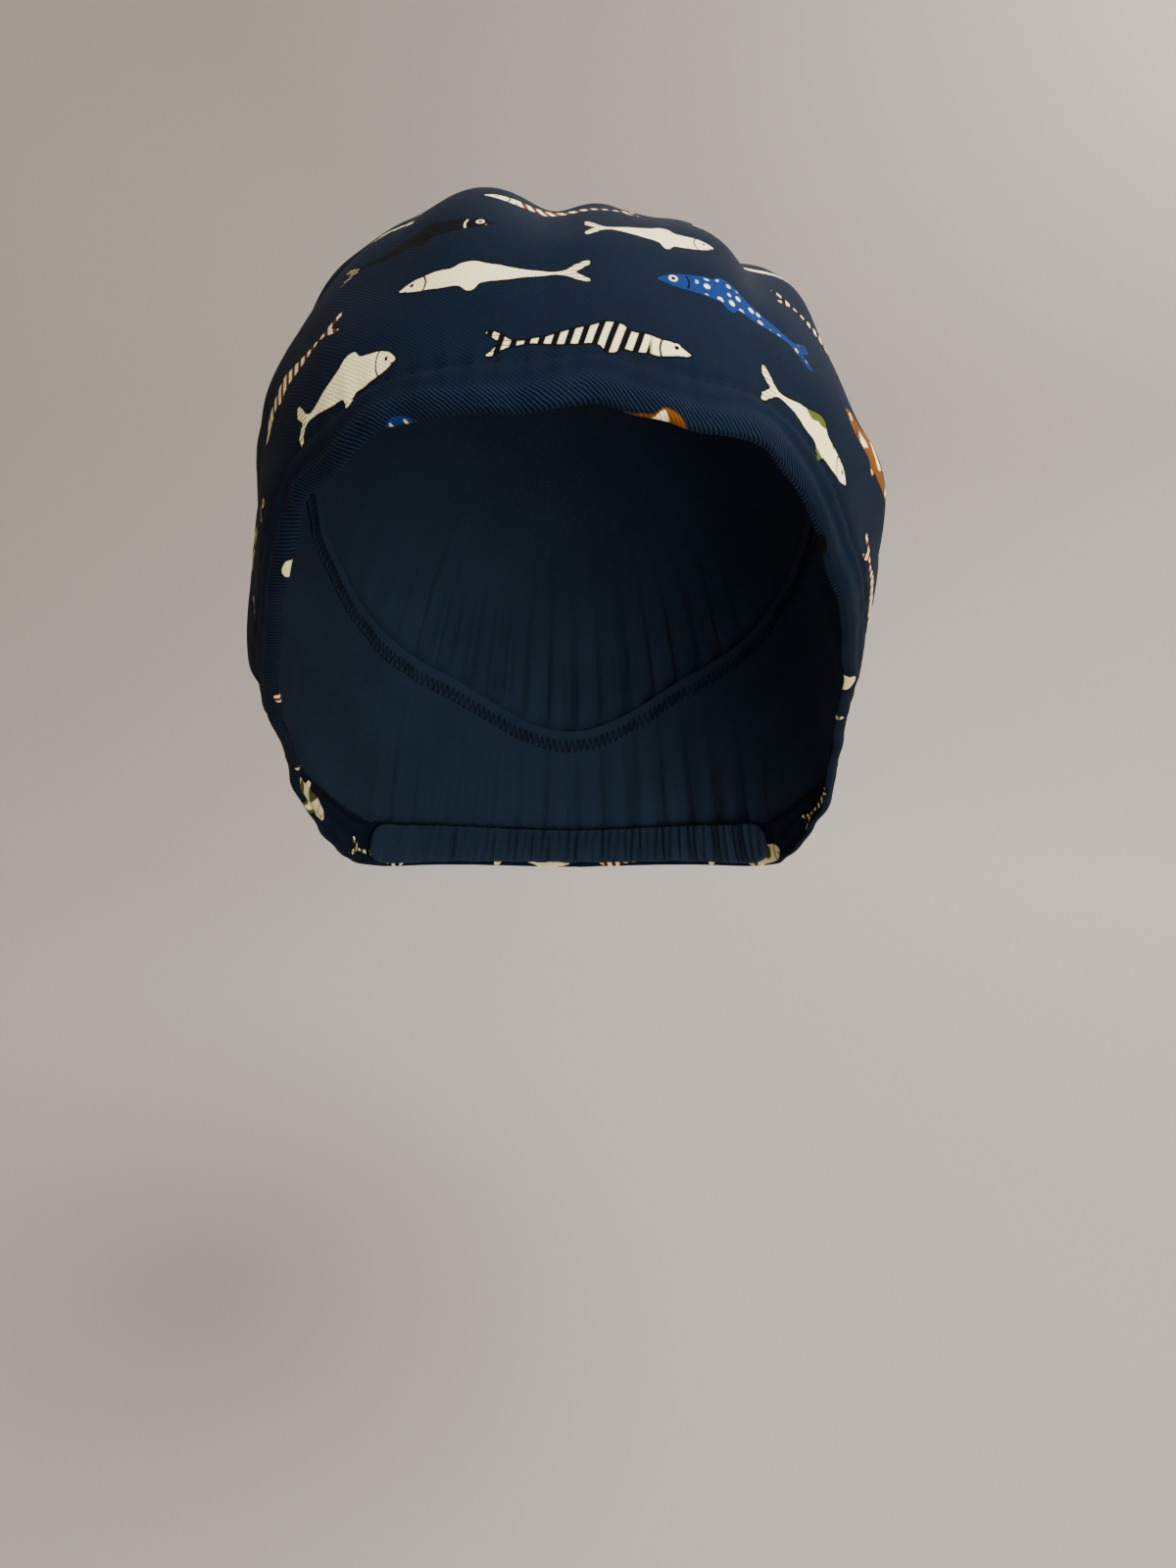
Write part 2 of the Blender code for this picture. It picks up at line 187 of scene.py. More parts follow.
# Folds and dents that wearing gives the cloth. around and lean are in degrees, and a lean of 90 runs up the
# cap. climb is a share of the band's front height; length, width and rise are shares of FOLD_LENGTH,
# FOLD_WIDTH and FOLD_DEPTH, and a rise below 0 is a dent.
FOLD_COLUMNS = ("name", "around", "climb", "lean", "length", "width", "rise")
FOLDS = [dict(zip(FOLD_COLUMNS, row)) for row in (
    ("top valley", -1, 0.75, 90, 1.1, 0.7, -0.7),
    ("top ridge", -13, 0.72, 90, 1.0, 1.2, 0.75),
    ("left shoulder", -26, 0.70, 90, 0.8, 0.9, 0.6),
    ("dip right of top", 13, 0.82, 90, 0.75, 0.7, -0.5),
    ("dip by the corner", 28, 0.62, 80, 0.9, 0.7, -0.8),
    ("right corner", 37, 0.64, 90, 0.6, 0.8, 0.5),
    ("right hollow", 50, 0.59, 90, 0.5, 1.2, -0.7),
    ("right notch", 55, 0.51, 40, 0.3, 0.7, -0.6),
    ("right pouch", 56, 0.36, 90, 0.45, 1.4, 0.7),
    ("left corner", -37, 0.67, 90, 0.4, 1.3, 1.0),
    ("left notch", -41, 0.56, 20, 0.4, 0.6, -0.9),
    ("left bulge", -46, 0.43, 0, 0.4, 0.9, 0.5),
    ("left hollow", -57, 0.31, 80, 0.7, 2.3, -0.6),
    ("left pouch", -80, 0.16, 60, 0.6, 2.2, 0.7),
    ("left side bulge", -110, 0.12, 90, 0.5, 2.0, 0.5),
    ("right side bulge", 113, 0.12, 90, 0.5, 2.0, 0.8),
)]

# Small creases that only the finished cloth has, with the same columns
CREASES = [dict(zip(FOLD_COLUMNS, row)) for row in (
    ("crease behind the top", 16, 0.70, 35, 0.35, 0.25, -0.14),
    ("soft ridge right", 22, 0.45, 70, 0.8, 0.8, 0.16),
    ("soft dent right", 33, 0.36, 65, 0.7, 0.7, -0.16),
    ("drag line to the hem right", 44, 0.22, 55, 0.6, 0.4, 0.14),
    ("drag line under it", 50, 0.15, 50, 0.5, 0.35, -0.14),
    ("crumple by the pouch", 62, 0.38, 100, 0.5, 0.4, -0.2),
    ("crumple behind it", 70, 0.42, 85, 0.6, 0.45, 0.2),
    ("pinch above the right kink", 80, 0.17, 20, 0.5, 0.4, -0.28),
    ("soft dent left", -20, 0.42, 105, 0.8, 0.8, -0.14),
    ("soft ridge left", -29, 0.34, 110, 0.7, 0.6, 0.14),
    ("drag line to the hem left", -42, 0.24, 125, 0.6, 0.4, -0.16),
    ("crumple left", -52, 0.45, 75, 0.5, 0.4, 0.2),
    ("crumple behind it left", -60, 0.5, 95, 0.6, 0.4, -0.2),
    ("pinch above the left kink", -84, 0.11, -20, 0.5, 0.35, -0.28),
    ("long side fold right", 100, 0.45, 75, 0.9, 0.6, -0.22),
    ("long side fold left", -104, 0.42, 105, 0.9, 0.6, -0.22),
)]

TILT = math.radians(CROWN_TILT)
POLE = np.array([0.0, math.sin(TILT), math.cos(TILT)])
FRONTWARD = np.array([0.0, -math.cos(TILT), math.sin(TILT)])
RIGHTWARD = np.array([1.0, 0.0, 0.0])
GATHER_START = 180.0 - GATHER_ANGLE / 2
CASING_START = 180.0 - GATHER_ANGLE / 2 * GATHERS_OVER_CASING / GATHERS


def hex_to_linear(code):
    """An sRGB hex colour as linear red, green, blue and alpha."""
    shares = [int(code[start:start + 2], 16) / 255 for start in (1, 3, 5)]
    linear = [share / 12.92 if share <= 0.04045 else ((share + 0.055) / 1.055) ** 2.4 for share in shares]
    return (*linear, 1.0)


def length_property(label, about, default):
    """A length in metres that the user can change."""
    return bpy.props.FloatProperty(name=label, description=about, default=default, min=0.0, precision=5,
                                   subtype="DISTANCE", unit="LENGTH")


def color_property(label, about, code):
    """A colour that the user can change."""
    return bpy.props.FloatVectorProperty(name=label, description=about, subtype="COLOR", size=4,
                                         min=0.0, max=1.0, default=hex_to_linear(code))


class ScrubCapSewing(bpy.types.PropertyGroup):
    """Sizes of the cloth, the hem and the stitches."""
    cloth: length_property("Cloth", "Thickness of one layer of twill", 0.0008)
    hem_height: length_property("Hem Height", "Depth of the turned-in hem", 0.0125)
    hem_thickness: length_property("Hem Thickness", "Thickness of the turned hem", 0.0021)
    stitch_climb: length_property("Stitch Line", "Height of the hem's stitches above the edge", 0.0104)
    stitch_length: length_property("Stitch Length", "Length of one stitch", 0.0026)
    stitch_gap: length_property("Stitch Gap", "Gap between two stitches", 0.0006)
    thread: length_property("Thread", "Radius of the sewing thread", 0.00022)
    allowance: length_property("Seam Allowance", "Width of the overlocked seam allowance", 0.0080)
    overlock_step: length_property("Overlock Step", "Distance between the overlock's loops", 0.0024)
    wale: length_property("Wale Spacing", "Distance between the twill's diagonal lines", 0.00078)


class ScrubCapPrint(bpy.types.PropertyGroup):
    """Colours and scale of the cloth and its print."""
    navy: color_property("Navy", "Ground colour of the cloth", "#0b1625")
    reverse: color_property("Reverse", "Wrong side of the cloth", "#212f3f")
    cream: color_property("Cream", "Cream of the print", "#fdf1b6")
    black: color_property("Black", "Black of the print", "#08090b")
    green: color_property("Green", "Green of the print", "#515a1e")
    orange: color_property("Orange", "Orange of the print", "#70420e")
    red: color_property("Red", "Red of the print", "#6b241b")
    blue: color_property("Blue", "Blue of the print", "#102e64")
    thread: color_property("Thread", "Colour of the sewing thread", "#030509")
    pitch_across: length_property("Motif Pitch", "Distance between motifs along the hem", 0.058)
    pitch_up: length_property("Row Pitch", "Distance between rows of motifs", 0.0200)
    motif_length: length_property("Motif Length", "Length of one fish", 0.044)
    motif_height: length_property("Motif Height", "Half height that a fish's fins reach", 0.0075)


class ScrubCapStage(bpy.types.PropertyGroup):
    """Backdrop and camera."""
    backdrop: color_property("Backdrop", "Colour of the pale floor and wall", "#b0aaa1")
    floor_drop: length_property("Floor Drop", "Depth of the floor below the top of the cap", 0.472)
    room_radius: length_property("Room Radius", "Radius of the round backdrop", 1.5)
    cove_radius: length_property("Cove Radius", "Radius of the curve between floor and wall", 0.5)
    room_height: length_property("Room Height", "Height of the round backdrop", 1.15)
    camera_back: length_property("Camera Back", "Distance of the camera in front of the cap's middle", 0.350)
    camera_right: length_property("Camera Right", "Sideways place of the camera", 0.0072)
    camera_drop: length_property("Camera Drop", "Depth of the camera below the inside top", 0.0666)
    camera_pitch: bpy.props.FloatProperty(name="Camera Pitch", description="How far the camera looks down",
                                          default=math.radians(14.5), subtype="ANGLE", unit="ROTATION")
    lens: bpy.props.FloatProperty(name="Lens", description="Focal length in mm", default=27.0, min=1.0)


def turned(angle):
    """An angle in degrees, brought between -180 and 180."""
    return (angle + 180.0) % 360.0 - 180.0


def smooth_step(value, start, end):
    """0 up to start, 1 from end, with a smooth rise between them."""
    share = np.clip((value - start) / (end - start), 0.0, 1.0)
    return share * share * (3.0 - 2.0 * share)


def bell(away, reach):
    """1 in the middle, and falling smoothly to 0 beyond the reach."""
    return np.exp(-(away / reach) ** 2)


def ripple(along, length, phase=0.0):
    """A sine wave along the cloth."""
    return np.sin(along / length * 2 * math.pi + phase)


def squared_off(wave, power):
    """A sine or cosine made squarer, for sections between an oval and a box."""
    return np.sign(wave) * np.abs(wave) ** power


def unit(vectors):
    """Vectors of length 1."""
    return vectors / np.linalg.norm(vectors, axis=-1, keepdims=True)


def even_curve(rows, column, around):
    """A smooth curve through a table's rows, the same on the left and the right of the cap."""
    places = np.array([row["around"] for row in rows], float)
    values = np.array([row[column] for row in rows], float)
    slopes = np.zeros(len(rows))
    slopes[1:-1] = (values[2:] - values[:-2]) / (places[2:] - places[:-2])
    angle = np.abs(turned(np.asarray(around, float)))
    first = np.clip(np.searchsorted(places, angle, side="right") - 1, 0, len(rows) - 2)
    span = places[first + 1] - places[first]
    share = (angle - places[first]) / span
    rest = 1 - share
    start = values[first] * (1 + 2 * share) * rest ** 2 + slopes[first] * span * share * rest ** 2
    end = values[first + 1] * share ** 2 * (3 - 2 * share) - slopes[first + 1] * span * share ** 2 * rest
    return start + end


def hem_line(around):
    """Points of the hem line from the centre."""
    angle = np.radians(around)
    sideways = np.sin(angle)
    backwards = -np.cos(angle)
    depth = np.where(backwards < 0, HEM_LINE_FRONT, HEM_LINE_BACK)
    reach = (np.abs(sideways) / (HEM_LINE_WIDTH / 2)) ** HEM_LINE_POWER
    reach = (reach + (np.abs(backwards) / depth) ** HEM_LINE_POWER) ** (-1 / HEM_LINE_POWER)
    fall = even_curve(HEM_FALL, "fall", around) * (HEM_ABOVE_CENTRE + NAPE_BELOW_CENTRE)
    return np.stack([reach * sideways, reach * backwards, HEM_ABOVE_CENTRE - fall], -1)


def hem_angles(around):
    """Angle round the pole, angle from the pole and distance from the centre of the hem line's points."""
    points = hem_line(around)
    distance = np.linalg.norm(points, axis=-1)
    turn = np.arctan2(points @ RIGHTWARD, points @ FRONTWARD)
    return np.degrees(turn), np.arccos(points @ POLE / distance), distance


def band_height(around):
    """Climb of the crown seam."""
    return BAND_HEIGHT_NAPE + even_curve(BAND_TALL, "tall", around) * (BAND_HEIGHT_FRONT - BAND_HEIGHT_NAPE)


def pole_climb(around):
    """Climb of the crown's pole."""
    return hem_angles(around)[1] * CLIMB_RADIUS


def directions(turn, lean):
    """Unit vectors from the centre, by degrees round the pole and radians from it."""
    turn = np.radians(turn)[..., None]
    lean = np.asarray(lean)[..., None]
    return np.cos(lean) * POLE + np.sin(lean) * (np.cos(turn) * FRONTWARD + np.sin(turn) * RIGHTWARD)


def body_radius(vectors):
    """Distance from the centre to the rounded body."""
    depth = np.where(vectors[..., 1] < 0, BODY_FRONT, BODY_BACK)
    height = np.where(vectors[..., 2] > 0, BODY_RISE, BODY_FALL)
    total = (np.abs(vectors[..., 0]) / (BODY_WIDTH / 2)) ** BODY_POWER
    total = total + (np.abs(vectors[..., 1]) / depth) ** BODY_POWER
    total = total + (np.abs(vectors[..., 2]) / height) ** BODY_POWER
    return total ** (-1 / BODY_POWER)


def arc_from(turn, lean, place):
    """Length along the cloth from the place, in degrees round the pole, to the point."""
    return np.radians(turned(turn - place)) * CLIMB_RADIUS * np.sin(lean)


def nape_hold(turn, lean, climb):
    """How far the elastic holds the cloth in towards the nape."""
    sideways = arc_from(turn, lean, 180.0) / NAPE_SPREAD
    return NAPE_PULL * np.exp(-sideways ** 2 - (climb / NAPE_REACH) ** 2)


def fold_rise(rows, turn, lean, climb):
    """Sum of the folds and dents of a table."""
    total = np.zeros(np.shape(climb))
    for fold in rows:
        along = arc_from(turn, lean, fold["around"])
        above = climb - fold["climb"] * BAND_HEIGHT_FRONT
        tilt = math.radians(fold["lean"])
        lengthwise = (along * math.cos(tilt) + above * math.sin(tilt)) / (fold["length"] * FOLD_LENGTH)
        crosswise = (above * math.cos(tilt) - along * math.sin(tilt)) / (fold["width"] * FOLD_WIDTH)
        total = total + fold["rise"] * FOLD_DEPTH * np.exp(-lengthwise ** 2 - crosswise ** 2)
    return total


def tuck_share(climb):
    """How far the cloth follows the hem line: the stitched hem turns in, and the cloth above it leans in."""
    above = np.maximum(climb, 0.0)
    turn = 1 - above / HEM_TURN_HEIGHT
    turn = (turn + np.sqrt(turn ** 2 + HEM_TURN_ROUNDING ** 2)) / (1 + math.sqrt(1 + HEM_TURN_ROUNDING ** 2))
    return HEM_TURN_SHARE * turn + (1 - HEM_TURN_SHARE) * np.exp(-(above / TUCK_HEIGHT) ** 2)


def hem_drop(around, climb):
    """How far the waves of the hem's edge lower the cloth."""
    total = np.zeros(np.shape(climb))
    for wave in HEM_WAVES:
        total = total + wave["drop"] * bell(turned(around - wave["around"]), wave["width"])
    return HEM_WAVE_DROP * total * bell(np.maximum(climb, 0.0), HEM_WAVE_REACH)


def smooth_point(around, climb, worn=True):
    """Points of the outer face before its gathers and fine relief, from the centre, with folds if worn."""
    turn, hem_lean, hem_distance = hem_angles(around)
    drop = hem_drop(around, climb) if worn else 0.0
    lean = np.maximum(hem_lean - (climb - drop) / CLIMB_RADIUS, 1e-5)
    aim = directions(turn, lean)
    radius = body_radius(aim) - nape_hold(turn, lean, climb)
    hem_radius = body_radius(directions(turn, hem_lean)) - nape_hold(turn, hem_lean, np.zeros_like(climb))
    radius = radius + (hem_distance - hem_radius) * tuck_share(climb)
    if worn:
        radius = radius + fold_rise(FOLDS, turn, lean, climb)
    return radius[..., None] * aim


def cut_cloth_point(around, climb):
    """Points of the cloth without its waves and folds, by which the print and the weave are laid out."""
    return smooth_point(around, climb, worn=False)


def outward(around, climb):
    """Outward unit normals of the smooth cloth."""
    step_degrees = math.degrees(NORMAL_STEP / CLIMB_RADIUS)
    climb = np.minimum(climb, pole_climb(around) - 2 * NORMAL_STEP)
    across = smooth_point(around + step_degrees, climb) - smooth_point(around - step_degrees, climb)
    up = smooth_point(around, climb + NORMAL_STEP) - smooth_point(around, climb - NORMAL_STEP)
    return unit(np.cross(across, up))


def uneven(number, seed):
    """A fixed list of uneven shares between 0 and 1."""
    return np.random.default_rng(seed).random(number)


def gather_wave(around):
    """The run of the gathers round the cap, each a little different from its neighbour."""
    angle = np.abs(turned(around))
    count = (angle - 180.0) / GATHER_ANGLE * GATHERS
    sizes = uneven(2 * GATHERS + 8, 3) * 0.7 + 0.65
    place = np.where(turned(around) < 0, -count, count + GATHERS) + 2
    size = np.interp(place, np.arange(len(sizes)), sizes)
    main = np.cos(count * 2 * math.pi)
    small = 0.30 * np.cos(place * 2 * math.pi * 2.31 + 1.3) + 0.16 * np.cos(place * 2 * math.pi * 3.87)
    return size * main + small


def gather_depth(around, climb):
    """Height of the gathers above the smooth cloth, strongest beside the seam and the casing."""
    angle = np.abs(turned(around))
    inside = smooth_step(angle, GATHER_START, GATHER_START + GATHER_FADE)
    above_seam = np.maximum(climb - band_height(around), 0.0) / GATHER_REACH
    above_casing = np.maximum(climb - CASING_HEIGHT, 0.0) / GATHER_REACH
    crown = CROWN_GATHER_DEPTH * above_seam * np.exp(1 - above_seam)
    nape = NAPE_GATHER_DEPTH * (0.5 + above_casing) * np.exp(-above_casing)
    nape = nape * smooth_step(band_height(around) - climb, 0.0, GATHER_REACH)
    return gather_wave(around) * inside * (crown + nape)


def side_ease(around, climb):
    """The faint ripples of the crown where it is eased into the band over the sides and the top."""
    above_seam = np.maximum(climb - band_height(around), 0.0) / (0.7 * GATHER_REACH)
    angle = np.abs(turned(around))
    inside = smooth_step(angle, 15.0, 50.0)
    inside = inside * (1 - smooth_step(angle, GATHER_START, GATHER_START + GATHER_FADE))
    ripples = np.sin(np.radians(around) * 31) + 0.6 * np.sin(np.radians(around) * 47 + 2.0)
    return EASE_RIPPLE * ripples * inside * above_seam * np.exp(1 - above_seam)


def slack(points):
    """The slow, small unevenness of soft cloth."""
    total = np.zeros(points.shape[:-1])
    for length, height, seed in ((0.062, 0.00045, 5), (0.034, 0.00022, 6), (0.019, 0.00010, 7)):
        for axis in range(4):
            aim = unit(uneven(3, seed * 10 + axis) * 2 - 1)
            total = total + 0.5 * height * np.sin(points @ aim * 2 * math.pi / length + axis * 1.7)
    return total


def stitch_line(around, sewing):
    """Climb of the stitches: low on the hem, and above the elastic at the nape."""
    over_casing = smooth_step(np.abs(turned(around)), CASING_START - 8.0, CASING_START)
    return sewing.stitch_climb + (CASING_HEIGHT - 0.0012 - sewing.stitch_climb) * over_casing


def seam_relief(around, climb, sewing):
    """The pull of the stitches, the soft roll of the hem and the valleys of the crown seam and back seam."""
    line = stitch_line(around, sewing)
    away = climb - line
    front = 1 - smooth_step(np.abs(turned(around)), CASING_START - 10.0, CASING_START)
    along = np.radians(around) * CLIMB_RADIUS
    below_seam = band_height(around) - climb
    fold_line = FOLD_UNDER_CLIMB + 0.0010 * ripple(along, 0.045, 0.6)
    fold_under = 0.65 + 0.35 * ripple(along, 0.070, 1.9)
    pucker = np.sin(along / PUCKER_LENGTH * 2 * math.pi + 2 * np.sin(along / 0.031))
    wavy_edge = ripple(along, 0.024, 0.8) + 0.7 * ripple(along, 0.0135, 2.2)
    to_back = 180.0 - np.abs(turned(around))
    relief = front * HEM_ROLL * np.sin(np.clip(climb / line, 0.0, 1.0) * math.pi)
    relief = relief - front * FOLD_UNDER_DEPTH * fold_under * bell(climb - fold_line, 0.0013)
    relief = relief + front * EDGE_BEAD * bell(climb - EDGE_BEAD_CLIMB, 0.0020)
    relief = relief - STITCH_GROOVE * bell(away, 0.0009) + PUCKER * pucker * bell(away, 0.0055)
    relief = relief + EDGE_RIPPLE * wavy_edge * bell(climb, 0.006)
    relief = relief - SEAM_VALLEY * bell(below_seam, 0.0020)
    return relief - SEAM_VALLEY * bell(to_back, 1.0) * smooth_step(below_seam, 0.0, 0.004)


def cloth_point(around, climb, inset, sewing):
    """Points of the finished cloth from the centre, inset from its outer face."""
    around, climb, inset = np.broadcast_arrays(*[np.asarray(item, float) for item in (around, climb, inset)])
    turn, hem_lean, _ = hem_angles(around)
    lean = np.maximum(hem_lean - climb / CLIMB_RADIUS, 1e-5)
    smooth = smooth_point(around, climb)
    height = gather_depth(around, climb) + side_ease(around, climb) + slack(smooth)
    height = height + fold_rise(CREASES, turn, lean, climb) + seam_relief(around, climb, sewing)
    return smooth + (height - inset)[..., None] * outward(around, climb)


def seat_height():
    """Height above the centre of the solids' inside top, which is the origin."""
    straight_up = pole_climb(np.zeros(1)) - TILT * CLIMB_RADIUS
    point = smooth_point(np.zeros(1), straight_up) - SOLID_WALL * outward(np.zeros(1), straight_up)
    return float(point[0, 2])


SEAT = np.array([0.0, 0.0, seat_height()])


def clear_selection():
    """Deselect everything, so that an operator acts on the new piece alone."""
    bpy.ops.object.select_all(action="DESELECT")


def grid_piece(name, columns, rows):
    """A grid primitive and its vertices' column and row numbers."""
    clear_selection()
    bpy.ops.mesh.primitive_grid_add(x_subdivisions=columns, y_subdivisions=rows, size=1.0)
    piece = bpy.context.object
    piece.name = name
    piece.data.name = name
    places = np.empty(3 * len(piece.data.vertices))
    piece.data.vertices.foreach_get("co", places)
    shares = places.reshape(-1, 3)[:, :2] + 0.5
    column = np.rint(shares[:, 0] * columns).astype(int)
    row = np.rint(shares[:, 1] * rows).astype(int)
    return piece, column, row


def lay_grid(piece, column, row, points, flat):
    """Move the grid's vertices to their points, and give it flat, the cut cloth in metres, as UV map."""
    mesh = piece.data
    mesh.vertices.foreach_set("co", points[column, row].ravel())
    corners = np.empty(len(mesh.loops), int)
    mesh.loops.foreach_get("vertex_index", corners)
    mesh.uv_layers.active.name = "cut_cloth"
    mesh.uv_layers.active.data.foreach_set("uv", flat[column, row][corners].ravel())
    mesh.update()


def weld(inside):
    """Merge the ends of the grid, point its faces in or out, and shade it smooth."""
    bpy.ops.object.mode_set(mode="EDIT")
    bpy.ops.mesh.select_all(action="SELECT")
    bpy.ops.mesh.remove_doubles(threshold=0.000001)
    bpy.ops.mesh.normals_make_consistent(inside=inside)
    bpy.ops.object.mode_set(mode="OBJECT")
    bpy.ops.object.shade_smooth()


def finish_piece(piece, node):
    """Weld the piece and tie it to the frame."""
    weld(inside=False)
    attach(piece, "root")
    if node:
        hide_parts(node)


def cloth_piece(name, points, flat, materials, node, reverse_row=None):
    """Model a piece of cloth from its points in columns and rows, with the second material from a row on."""
    piece, column, row = grid_piece(name, points.shape[0] - 1, points.shape[1] - 1)
    lay_grid(piece, column, row, points - SEAT, flat)
    for material in materials:
        piece.data.materials.append(material)
    if reverse_row is not None:
        for face in piece.data.polygons:
            face.material_index = int(min(row[corner] for corner in face.vertices) >= reverse_row)
    finish_piece(piece, node)


def along_columns(points):
    """Length along the cloth from centre front, for points in columns and rows."""
    steps = np.linalg.norm(np.diff(points, axis=0), axis=-1)
    length = np.concatenate([np.zeros((1, points.shape[1])), np.cumsum(steps, axis=0)])
    return length - length[len(length) // 2]


def along_rows(points):
    """Length up the cloth from the first row, for points in columns and rows."""
    steps = np.linalg.norm(np.diff(points, axis=1), axis=-1)
    return np.concatenate([np.zeros((points.shape[0], 1)), np.cumsum(steps, axis=1)], axis=1)


def add(tree, kind, inputs=(), output=0, **settings):
    """Add a node of a kind, its operation after a space, and link or set its inputs. Gives one output."""
    kind, _, operation = kind.partition(" ")
    node = tree.nodes.new("ShaderNode" + kind)
    if operation:
        node.operation = operation
    for name, setting in settings.items():
        setattr(node, name, setting)
    pairs = inputs.items() if isinstance(inputs, dict) else enumerate(inputs)
    for place, value in pairs:
        if isinstance(value, bpy.types.NodeSocket):
            tree.links.new(value, node.inputs[place])
        else:
            node.inputs[place].default_value = value
    return node.outputs[output] if node.outputs else node


def new_material(name):
    """An empty node material and its tree."""
    material = bpy.data.materials.new(name)
    material.use_nodes = True
    material.node_tree.nodes.clear()
    return material, material.node_tree


# A mix of two colours, and a colour times a shade. Input 0 is the share, 6 and 7 are the colours.
MIX_COLOR = dict(output=2, data_type="RGBA")
SHADE_COLOR = dict(MIX_COLOR, blend_type="MULTIPLY")

# Drawing of a fish: sizes in millimetres, and places as shares of its length from nose to tail
INK_EDGE = 0.28
PEN_EDGE = 0.22
PEN_WIDTH = 0.24
OUTLINE_WIDTH = 0.52
STRIPE_STEP = 2.857
RAY_STEP = 1.25
DOT_STEP = 3.03
PATCH_SIZE = 6.25
GILL_REACH = 5.6
MOUTH_DROP = 0.9
MOUTH_WIDTH = 0.2
EYE_RISE = 0.7
EYE_RADIUS = 1.05
PUPIL_RADIUS = 0.55
GILL_CENTRE = 0.04
MOUTH_END = 0.055
EYE_CENTRE = 0.085
BODY_START = 0.20
RAYS_START = 0.87
TAIL_NOTCH = 0.93

# Outline of a fish from nose to tail, as shares of its length, and of its half height at full fins
FISH_BACK = [(0.0, 0.50), (0.03, 0.60), (0.12, 0.74), (0.24, 0.80), (0.30, 0.82), (0.37, 0.97), (0.52, 0.82),
             (0.64, 0.71), (0.78, 0.60), (0.83, 0.59), (0.93, 0.80), (0.98, 0.88), (1.0, 0.70)]
FISH_BELLY = [(0.0, 0.50), (0.03, 0.59), (0.12, 0.70), (0.24, 0.77), (0.34, 0.78), (0.41, 0.93), (0.46, 0.75),
              (0.62, 0.68), (0.78, 0.59), (0.83, 0.59), (0.93, 0.77), (0.98, 0.84), (1.0, 0.66)]


def draw_profile(tree, value, outline):
    """Half height of the fish at a share of its length, read from its outline, from -1 to 1."""
    height = add(tree, "FloatCurve", {"Factor": 1.0, "Value": value})
    curve = height.node.mapping.curves[0]
    while len(curve.points) < len(outline):
        curve.points.new(0.5, 0.5)
    for point, place in zip(curve.points, outline):
        point.location = place
    height.node.mapping.update()
    height = add(tree, "Math SUBTRACT", [height, 0.5])
    return add(tree, "Math MULTIPLY", [height, 2.0])


def soft_edge(tree, distance, width):
    """1 where a distance in millimetres is above 0, 0 below, over a soft edge."""
    return add(tree, "MapRange", [distance, -width / 2, width / 2, 0.0, 1.0], clamp=True)


def color_choice(tree, index, colors):
    """A plain colour picked by the motif's index, from one for each colourway."""
    chosen = add(tree, "ValToRGB", [index])
    ramp = chosen.node.color_ramp
    ramp.interpolation = "CONSTANT"
    while len(ramp.elements) < len(colors):
        ramp.elements.new(0.5)
    for number, color in enumerate(colors):
        ramp.elements[number].position = number / len(colors)
        ramp.elements[number].color = color
    return chosen


def choice(tree, index, shares):
    """A number picked by the motif's index, from one for each colourway."""
    return add(tree, "SeparateColor", [color_choice(tree, index, [(share, share, share, 1.0)
                                                                          for share in shares])])


